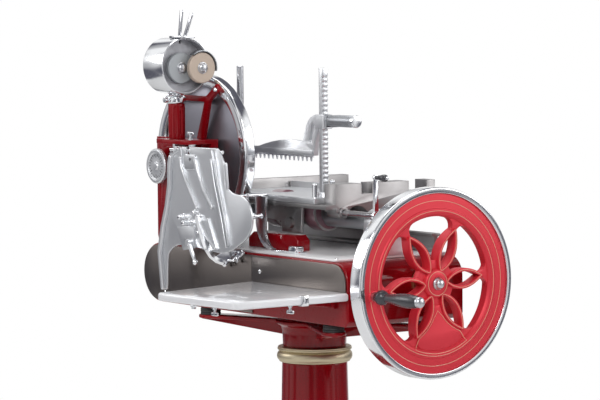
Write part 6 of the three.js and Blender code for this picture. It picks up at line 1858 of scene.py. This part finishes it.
@dataclass
class Sharpener:
    """Fluted pillar, collar, post, and the drum with its two stones and two levers."""

    post: Pair = (-240.0, 684.0)
    post_radius: float = 10.0
    pillar_low: float = 308.3
    pillar_high: float = 391.3
    pillar_radius: float = 20.0
    collar_high: float = 409.6
    collar_radius: float = 23.0
    drum_x: float = -255.0
    drum_z: float = 481.0
    drum_radius: float = 66.0
    drum_front: float = 622.0
    drum_back: float = 720.0
    grey_x: float = -261.0
    tan_x: float = -218.0
    stone_z: float = 476.0
    stone_radius: float = 36.0
    stone_back: float = 678.0
    spindle: float = 6.0
    grey_inset: float = 6.0
    tan_inset: float = -17.5
    flutes: int = 8
    flute: float = 4.4
    lever_height: float = 66.0
    levers: tuple[Pair, Pair] = ((624.0, 30.0), (645.0, 9.0))

    def pillar(self) -> Solid:
        """The red pillar with its flutes between two plain ends.

        Returns:
            The pillar.
        """
        low, high = self.pillar_low, self.pillar_high
        radius, bore = self.pillar_radius, self.post_radius + 0.4
        profile = [(low, bore), (low, radius), (high, radius), (high, bore)]
        body = Solid.turned(Axis.Z, profile, (*self.post, 0), FINE, ring=True, round_by=1.5)
        flute = [(low + 8, 0), (low + 12, self.flute), (high - 9, self.flute), (high - 5, 0)]
        grooves, reach = Solid(), radius + 2
        for turn in (FULL_TURN * i / self.flutes for i in range(self.flutes)):
            x, y = self.post[0] + reach * math.cos(turn), self.post[1] + reach * math.sin(turn)
            grooves.with_loose(Solid.turned(Axis.Z, flute, (x, y, 0), 24))
        return body.cut(grooves)

    def collar(self) -> Solid:
        """The chrome collar with its set screw.

        Returns:
            The collar.
        """
        x, y = self.post
        bore, radius = self.post_radius + 0.4, self.collar_radius
        low, high = self.pillar_high + 0.3, self.collar_high
        body = Solid.turned(Axis.Z, [
            (low, bore), (low, radius - 2), (low + 3, radius), (high - 4, radius), (high, radius - 5),
            (high, bore),
        ], (x, y, 0), FINE, ring=True, round_by=1.5)
        face = y + radius
        screw = Solid.turned(Axis.Y, [
            (face - 4, 0), (face - 4, 6), (face + 6, 6), (face + 6, 8), (face + 14, 8), (face + 14, 0),
        ], (x, 0, (low + high) / 2), round_by=0.8)
        return body.join(screw)

    def lock_screw(self) -> Solid:
        """A small clamp screw on the collar's near left.

        Returns:
            The screw.
        """
        x, y = self.post
        face = x - self.collar_radius + 1
        return Solid.turned(Axis.X, [
            (face, 0), (face, 4), (face - 7, 4), (face - 7, 6.5), (face - 14, 6.5), (face - 14, 0),
        ], (0, y - 2, (self.pillar_high + self.collar_high) / 2), round_by=0.8)

    def drum(self) -> Solid:
        """The chrome outside of the drum, open at the front, its rear rounded off.

        Returns:
            The drum.
        """
        radius, front, back = self.drum_radius, self.drum_front, self.drum_back
        x, z = self.drum_x, self.drum_z
        body = Solid.turned(Axis.Y, [
            (back - 9, 0), (back - 8, radius * 0.6), (back - 18, radius - 2), (front - 1, radius - 2),
            (front - 2, radius - 1), (front, radius), (back - 18, radius), (back - 6, radius * 0.82),
            (back, radius * 0.5), (back + 2, 0),
        ], (x, 0, z), FINEST, round_by=1.2)
        top, low, socket = z + radius, z - radius, self.post_radius + 8
        body.join(Solid.block((x - 20, x + 20), (front - 12, front + 37), (top - 1.5, top + 4), 1))
        profile = [(low - 4, 0), (low - 4, socket), (low + 8, socket), (low + 8, 0)]
        body.join(Solid.turned(Axis.Z, profile, (*self.post, 0), round_by=1.5))
        return body.cut(*self.drum_openings())

    def drum_openings(self) -> list[Solid]:
        """The levers' slot and the hole for the post.

        Returns:
            The bodies to cut away.
        """
        x, front = self.drum_x, self.drum_front
        top, low = self.drum_z + self.drum_radius, self.drum_z - self.drum_radius
        return [
            Solid.block((x - 2.4, x + 2.4), (front - 10, front + 35), (top - 14, top + 9)),
            Solid.rod(Axis.Z, low - 20, low + 4, self.post_radius + 0.4, (*self.post, 0)),
        ]

    def lining(self) -> Solid:
        """The mottled inside of the drum, with the plate and bosses that hold the stones.

        Returns:
            The lining.
        """
        radius, front, back = self.drum_radius - 4, self.drum_front, self.drum_back
        x, z = self.drum_x, self.drum_z
        cup = Solid.turned(Axis.Y, [
            (back - 12, 0), (back - 10.5, 38), (back - 20, radius), (front, radius), (front, radius + 1.9),
            (back - 18.2, radius + 1.9), (back - 8.4, 38.6), (back - 9.2, 0),
        ], (x, 0, z), FINEST)
        cup.join(Solid.rod(Axis.Y, front + 22, front + 27, radius + 0.8, (x, 0, z), FINEST))
        spindles = [(stone_x, 0, self.stone_z) for stone_x in (self.grey_x, self.tan_x)]
        for place in spindles:
            cup.join(Solid.rod(Axis.Y, front + 25, front + 44, 13, place, MEDIUM))
        low = z - radius
        socket = Solid.rod(Axis.Z, low - 20, low + 4.2, self.post_radius + 8.2, (*self.post, 0), MEDIUM)
        bores = [Solid.rod(Axis.Y, front, front + 60, self.spindle + 0.4, place) for place in spindles]
        return cup.cut(socket, self.drum_openings()[0], *bores)

    def hood(self) -> Solid:
        """The dark arc over the truing stone.

        Returns:
            The hood.
        """
        centre, outer = (self.tan_x, self.stone_z), self.stone_radius + 5
        band = arc(centre, outer, -12, 128, 30) + arc(centre, outer - 2.5, -12, 128, 30)[::-1]
        return Solid.prism(Axis.Y, band, self.drum_front - 19, self.drum_front - 1, 0.6, 2)

    def stone(self, x: float, front: float) -> Solid:
        """A stone with a chamfered rim, on its spindle.

        Args:
            x: place of its spindle.
            front: its front face along Y.

        Returns:
            The stone.
        """
        radius, back, spindle = self.stone_radius, self.stone_back, self.spindle
        return Solid.turned(Axis.Y, [
            (back, 0), (back, spindle), (front + 14, spindle), (front + 14, radius - 1), (front + 12, radius),
            (front + 2, radius), (front, radius - 2), (front, 12), (front, 0),
        ], (x, 0, self.stone_z), FINE)

    def stone_nut(self, x: float, front: float) -> Solid:
        """The bright nut in a stone's middle, on a flat washer.

        Args:
            x: place of the spindle.
            front: the stone's front face along Y.

        Returns:
            The nut.
        """
        return Solid.turned(Axis.Y, [
            (front + 0.5, 0), (front + 0.5, 14), (front - 1, 14), (front - 1.5, 11.5), (front - 5, 10.5),
            (front - 7, 8.5), (front - 8.6, 4), (front - 9, 0),
        ], (x, 0, self.stone_z), round_by=0.6)

    def lever(self, y: float, lean: float) -> Solid:
        """A flat lever that lifts out of the drum's slot.

        Args:
            y: its place along the drum.
            lean: how far it leans, in degrees.

        Returns:
            The lever.
        """
        x, top = self.drum_x, self.drum_z + self.drum_radius
        side = rounded_box(y - 5, y + 5, top - 5, top + self.lever_height, 4.5)
        return Solid.prism(Axis.X, side, x - 2, x + 2, 0.7, 2).leaned(Axis.X, lean, (x, y, top))

    def build(self, shop: Shop) -> None:
        """Builds and dresses the sharpener.

        Args:
            shop: where its pieces are finished.
        """
        shop.place("fluted_pillar", self.pillar(), "stand", SHADED_RED_ENAMEL, ["sharpener_pillar"], 40)
        shop.place("pillar_collar", self.collar(), "stand", CHROME, ["sharpener_collar"])
        shop.place("collar_screw", self.lock_screw(), "stand", CHROME)
        post_top = self.drum_z - self.drum_radius + 3
        post = Solid.rod(Axis.Z, self.pillar_low + 12, post_top, self.post_radius, (*self.post, 0), MEDIUM)
        shop.place("lift_post", post, "sharpener_lift_post", POLISHED_STEEL, ["sharpener_post"])
        shop.place("stone_drum", self.drum(), "sharpener_head", CHROME, ["sharpener_drum"], 38)
        shop.place("drum_lining", self.lining(), "sharpener_head", DRUM_LINING, ["sharpener_drum"], 38)
        shop.place("stone_hood", self.hood(), "sharpener_head", DARK_STEEL)
        for name, body, node, finish, x, inset in (
            ("grey_wheel", "grinding_wheel", "grinding_stone", GREY_STONE, self.grey_x, self.grey_inset),
            ("tan_wheel", "truing_wheel", "truing_stone", TAN_STONE, self.tan_x, self.tan_inset),
        ):
            front = self.drum_front + inset
            shop.place(name, self.stone(x, front), body, finish, [node])
            shop.place(f"{name}_nut", self.stone_nut(x, front), body, SATIN_CHROME)
        for side, (y, lean) in zip(("front", "rear"), self.levers):
            lever = self.lever(y, lean)
            shop.place(f"lever_{side}", lever, f"{side}_lever", POLISHED_STEEL, [f"stone_lever_{side}"])


@dataclass
class Carriage:
    """Rails, carriage, feed, meat table and press."""

    rail: Pair = (-60.0, 131.0)
    rail_radius: float = 18.0
    bearing_radius: float = 44.0
    bearing_lift: float = 14.0
    bearings: Pair = (322.0, 484.0)
    clamp_x: float = -100.0
    post_top: float = 478.0
    rail_ends: Pair = (100.0, 796.0)
    table_top: float = 173.6
    rear_post_y: float = 622.0
    grip_face: float = 87.7
    grip_place: Pair = (-101.0, 237.0)
    lever_z: float = 359.0
    lever_end: float = 172.0
    strap_y: float = 446.0
    support_ys: Pair = (129.0, 770.0)
    bolt_xs: Pair = (-92.0, 4.0)

    def round_rail(self) -> Solid:
        """The round rail with chamfered ends.

        Returns:
            The rail.
        """
        (low, high), radius = self.rail_ends, self.rail_radius
        return Solid.turned(Axis.Y, [
            (low, 0), (low, radius - 3), (low + 3, radius), (high - 3, radius), (high, radius - 3), (high, 0),
        ], (self.rail[0], 0, self.rail[1]), FINE)

    def bearing(self, y: float) -> Solid:
        """The smooth outside of a slide bearing.

        Args:
            y: where it starts along the rail.

        Returns:
            The bearing.
        """
        outer = self.bearing_radius + 0.4
        return Solid.turned(Axis.Y, [
            (y - 0.4, 24), (y - 0.4, outer - 6), (y + 2, outer - 2), (y + 5, outer), (y + 41, outer),
            (y + 46.4, outer - 4), (y + 46.4, 24),
        ], (self.rail[0], 0, self.rail[1] + self.bearing_lift), FINE, ring=True, round_by=2)

    def feed_grip(self) -> Solid:
        """The small teardrop grip of the feed crank.

        Returns:
            The grip.
        """
        face = self.grip_face
        profile = [(face, 3.4), (face, 4.6), (face - 7, 5), (face - 15, 6), (face - 24, 8), (face - 31, 8.4),
                   (face - 36, 6.4), (face - 38, 3.4)]
        x, z = self.grip_place
        return Solid.turned(Axis.Y, profile, (x, 0, z), ring=True, round_by=2)

    def rear_post(self) -> Solid:
        """The plain rear post."""
        place = (self.clamp_x, self.rear_post_y, 0)
        return Solid.rod(Axis.Z, self.table_top, self.post_top, 8, place, MEDIUM)

    def press_grip(self) -> Solid:
        """The thick round bar of the release lever.

        Returns:
            The bar.
        """
        end = self.lever_end
        return Solid.turned(Axis.Y, [
            (end + 98, 0), (end + 98, 7), (end + 90, 10), (end + 78, 12.6), (end + 58, 13.6), (end + 2, 13.6),
            (end + 0.4, 12.4), (end, 0),
        ], (self.clamp_x, 0, self.lever_z), round_by=1)

    def press_cap(self) -> Solid:
        """The bright end of that bar.

        Returns:
            The cap.
        """
        end = self.lever_end
        return Solid.turned(Axis.Y, [
            (end - 0.2, 0), (end - 0.2, 13), (end - 1.2, 14), (end - 10.5, 14), (end - 12, 12.5),
            (end - 12, 0),
        ], (self.clamp_x, 0, self.lever_z), round_by=0.8)

    def post_studs(self) -> Solid:
        """Two bright studs beside the rack post's foot.

        Returns:
            The studs.
        """
        made = Solid()
        low = self.table_top + 0.1
        for x, high in ((-127, 216), (-77, 222)):
            made.with_loose(Solid.turned(Axis.Z, [
                (low, 0), (low, 9), (177, 9), (177, 6), (high - 3, 6), (high, 4.5), (high, 0),
            ], (x, 287, 0), round_by=0.8))
        return made

    def strap_fittings(self) -> Solid:
        """The cross bar over the strap with its hanging pin, and the ball screw on the strap.

        Returns:
            The fittings.
        """
        y = self.strap_y
        bar = Solid.rod(Axis.X, -224, -152, 3.6, (0, y, 184), MEDIUM)
        foot = Solid.rod(Axis.Z, 180.2, 183, 6, (-162, y, 0), COARSE)
        profile = [(150, 0), (150, 4.5), (152, 5.5), (172, 5.5), (174, 4), (188, 4), (189, 0)]
        pin = Solid.turned(Axis.Z, profile, (-205, y, 0), COARSE)
        knob = Solid.rod(Axis.X, -176, -164.5, 3.4, (0, 462, 134)).with_loose(Solid.ball((-176, 462, 134), 7))
        return bar.with_loose(foot, pin, knob)

    def bolts(self) -> Solid:
        """Hex bolts on the rail supports' feet.

        Returns:
            The bolts.
        """
        made = Solid()
        for y in self.support_ys:
            for x in self.bolt_xs:
                made.with_loose(Solid.prism(Axis.Z, arc((x, y), 6, 0, 300, 5), 70.6, 76, 0.6, 2))
        return made

    def build(self, shop: Shop) -> None:
        """Builds and dresses the carriage and all that moves with it.

        Args:
            shop: where its pieces are finished.
        """
        shop.place("rail_bar", self.round_rail(), "stand", DARK_STEEL, ["round_rail"])
        shop.refined("flat_track", "stand", CARRIAGE_CASTING, 0.8, "track_bar")
        shop.refined("rail_support_front", "stand", CAST_ALUMINIUM, 2.0, "support_front", segments=3)
        shop.refined("rail_support_rear", "stand", CAST_ALUMINIUM, 2.0, "support_rear", segments=3)
        shop.place("support_bolts", self.bolts(), "stand", CHROME)
        shop.refined("guide_block", "stand", SHADED_RED_ENAMEL, 0.8, "guide_bar")
        shop.refined("guard_strap", "stand", CHROME, 1.0, "strap_hook", segments=3)
        shop.refined("carriage", "meat_carriage", CARRIAGE_CASTING, 1.4, "carriage_casting")
        for name, y in zip(("bearing_front", "bearing_rear"), self.bearings):
            shop.place(name, self.bearing(y), "meat_carriage", BEARING_ENAMEL_AND_REFLECTION)
        shop.dress("track_roller", DARK_STEEL)
        shop.refined("feed_crank", "feed_handle", CHROME, 0.6, "feed_arm")
        shop.place("feed_knob", self.feed_grip(), "feed_grip", BLACK_GRIP, ["feed_crank_grip"])
        shop.dress("feed_screw", DARK_STEEL)
        shop.refined("meat_table", "table", CAST_ALUMINIUM, 0.8, "table_plate")
        shop.refined("rack_post", "table", CAST_ALUMINIUM, 0.5, "rack_bar")
        shop.place("plain_post", self.rear_post(), "table", POLISHED_STEEL, ["rear_post"])
        shop.refined("press_arm", "press", CAST_ALUMINIUM, 1.8, "swan_arm", segments=3)
        shop.refined("toothed_strip", "press", POLISHED_STEEL, 0.4, "spike_strip")
        shop.refined("clamp_lever", "release_lever", DARK_STEEL, 1.2, "press_lever", segments=3)
        shop.place("press_grip", self.press_grip(), "release_lever", DARK_STEEL)
        shop.place("press_cap", self.press_cap(), "release_lever", CHROME)
        shop.place("post_studs", self.post_studs(), "table", CHROME)
        shop.place("strap_fittings", self.strap_fittings(), "stand", CHROME)


@dataclass
class Tray:
    """White slice tray on its red bracket."""

    top: float = -12.0
    thickness: float = 18.0
    near: float = 50.0
    clip_ends: Pair = (-337.0, -319.0)
    far_bolt: Pair = (-488.0, 246.0)
    wing: Triple = (-436.3, 240.0, -43.0)
    near_wing: Triple = (-350.0, 74.0, -30.5)

    def clips(self) -> Solid:
        """The folded clip on the tray's near edge, and the hex bolt under its far corner.

        Returns:
            The clip and the bolt.
        """
        low, high, near = self.top - self.thickness, self.top, self.near
        fold = [(-2.4, low - 2.4), (16, low - 2.4), (16, low - 0.3), (-0.3, low - 0.3), (-0.3, high + 0.3),
                (10, high + 0.3), (10, high + 2.2), (-2.4, high + 2.2)]
        clip = Solid.prism(Axis.X, [(near + y, z) for y, z in fold], *self.clip_ends, 0.5, 2)
        x, y = self.far_bolt
        bolt = Solid.prism(Axis.Z, arc((x, y), 8, 0, 300, 5), low - 9, low - 0.3, 0.8, 2)
        return clip.with_loose(bolt, Solid.rod(Axis.Z, low - 13, low - 8.5, 5, (x, y, 0)))

    def build(self, shop: Shop) -> None:
        """Builds and dresses the tray.

        Args:
            shop: where its pieces are finished.
        """
        screw = SliceSide().screw
        shop.refined("slice_tray", "stand", TRAY_ENAMEL, 1.6, "tray_slab", segments=3)
        shop.refined("tray_bracket", "stand", SHADED_RED_ENAMEL, 1.2, "bracket_casting")
        shop.place("tray_wing", screw(self.wing, up=-1.0), "tray_screw", CHROME, ["tray_thumbscrew"])
        shop.place("tray_clips", self.clips(), "stand", CHROME)
        shop.place("tray_near_wing", screw(self.near_wing, up=-1.0), "stand", CHROME)


# Studio


@dataclass
class Studio:
    """Floor, lights, surroundings and camera."""

    camera_place: Triple = (-4.069, -5.630, 1.549)
    yaw: float = 35.6
    pitch: float = 3.95
    roll: float = 0.5
    lens: float = 180.0
    sensor: float = 36.0
    floor_size: float = 6.0
    floor_colour: Triple = (0.86, 0.86, 0.86)
    room_scale: float = 2.6
    room_stretch: Triple = (0.9, 0.9, 0.6)
    room_steps: Pair = (0.46, 0.60)
    room_dark: Triple = (0.10, 0.10, 0.125)
    soft_light: float = 0.26
    lamps: list[tuple[str, Triple, Triple, float, float]] = field(default_factory=lambda: [
        ("key", (-3.2, -3.0, 3.6), (0.0, 0.0, 1.0), 2.2, 105.0),
        ("fill", (2.8, -3.2, 2.4), (0.0, 0.0, 1.0), 2.6, 52.0),
        ("top", (0.2, 0.8, 4.0), (0.0, 0.0, 1.0), 2.4, 50.0),
        ("rim", (-2.6, 3.0, 2.6), (0.0, 0.0, 1.1), 1.8, 34.0),
    ])

    def camera(self) -> None:
        """Sets the camera at the photograph's angle."""
        data = bpy.data.cameras.new("camera")
        data.lens, data.sensor_width = self.lens, self.sensor
        data.clip_end = 100
        camera = bpy.data.objects.new("camera", data)
        pose = Matrix.Translation(self.camera_place)
        for degrees, axis in ((-self.yaw, "Z"), (90 - self.pitch, "X"), (-self.roll, "Z")):
            pose = pose @ Matrix.Rotation(math.radians(degrees), 4, axis)
        camera.matrix_world = pose
        bpy.context.scene.collection.objects.link(camera)
        bpy.context.scene.camera = camera

    def floor(self) -> None:
        """A plain pale floor."""
        bm = bmesh.new()
        bmesh.ops.create_grid(bm, x_segments=2, y_segments=2, size=self.floor_size / 2)
        mesh = bpy.data.meshes.new("floor")
        bm.to_mesh(mesh)
        bm.free()
        floor = bpy.data.objects.new("floor", mesh)
        floor.location.z = -0.0005
        material = bpy.data.materials.new("floor_paint")
        material.use_nodes = True
        shader = material.node_tree.nodes["Principled BSDF"]
        shader.inputs["Base Color"].default_value = (*self.floor_colour, 1)
        shader.inputs["Roughness"].default_value = 0.8
        mesh.materials.append(material)
        bpy.context.scene.collection.objects.link(floor)

    def light(self) -> None:
        """Soft lamps round the object."""
        for name, place, aim, size, power in self.lamps:
            data = bpy.data.lights.new(name, "AREA")
            data.shape = "DISK"
            data.size, data.energy = size, power
            lamp = bpy.data.objects.new(name, data)
            lamp.location = place
            lamp.rotation_mode = "QUATERNION"
            lamp.rotation_quaternion = (Vector(aim) - Vector(place)).to_track_quat("-Z", "Y")
            bpy.context.scene.collection.objects.link(lamp)

    def surroundings(self) -> None:
        """A white backdrop, with the greyer room that the metal mirrors."""
        world = bpy.data.worlds.new("room")
        bpy.context.scene.world = world
        world.use_nodes = True
        tree = world.node_tree
        tree.nodes.clear()
        yaw = math.radians(self.yaw)
        path, place = add_node(tree, "LightPath"), add_node(tree, "TexCoord")
        upright = add_node(tree, "VectorMath", "MULTIPLY")
        upright.inputs[1].default_value = self.room_stretch
        noise = add_node(tree, "TexNoise", Scale=self.room_scale, Detail=1.0)
        ahead = add_node(tree, "VectorMath", "DOT_PRODUCT")
        ahead.inputs[1].default_value = (math.sin(yaw), math.cos(yaw), 0)
        backdrop = add_node(tree, "MapRange", From_Min=0.972, From_Max=0.990, To_Min=0.0, To_Max=0.5)
        lit = add_node(tree, "Math", "ADD")
        ramp = add_node(tree, "ValToRGB")
        steps = zip(ramp.color_ramp.elements, self.room_steps, (self.room_dark, (1.0, 1.0, 1.0)))
        for element, position, colour in steps:
            element.position = position
            element.color = (*colour, 1)
        room = add_node(tree, "Background")
        soft = add_node(tree, "Background", Color=(1, 1, 1, 1), Strength=self.soft_light)
        white = add_node(tree, "Background", Color=(1, 1, 1, 1))
        glossy = add_node(tree, "Math", "MAXIMUM")
        mirror, seen = add_node(tree, "MixShader"), add_node(tree, "MixShader")
        connect(
            tree, (place, "Generated", upright, 0), (upright, 0, noise, "Vector"),
            (place, "Generated", ahead, 0), (ahead, "Value", backdrop, "Value"),
            (noise, "Fac", lit, 0), (backdrop, "Result", lit, 1), (lit, 0, ramp, "Fac"),
            (ramp, "Color", room, "Color"), (path, "Is Glossy Ray", glossy, 0),
            (path, "Is Transmission Ray", glossy, 1), (glossy, 0, mirror, "Fac"),
            (soft, 0, mirror, 1), (room, 0, mirror, 2), (path, "Is Camera Ray", seen, "Fac"),
            (mirror, 0, seen, 1), (white, 0, seen, 2),
            (seen, 0, add_node(tree, "OutputWorld"), "Surface"),
        )

    def build(self) -> None:
        """Sets up the whole studio."""
        bpy.context.scene.view_settings.view_transform = "Standard"
        self.camera()
        self.floor()
        self.light()
        self.surroundings()


def corners(box: tuple[Vector, Vector]) -> list[list[float]]:
    """A box as plain lists of numbers."""
    return [list(box[0]), list(box[1])]


def main() -> None:
    """Builds the looks round the frame."""
    logging.basicConfig(level=logging.INFO, format="%(name)s %(message)s")
    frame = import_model()
    shop = Shop(frame)
    for assembly in (Pedestal(), Base(), Flywheel(), Knife(), SliceSide(), Sharpener(), Carriage(), Tray()):
        assembly.build(shop)
        LOG.info("%s is done", type(assembly).__name__)
    Studio().build()
    LOG.info("%d pieces", shop.count)


if __name__ == "__main__":
    main()
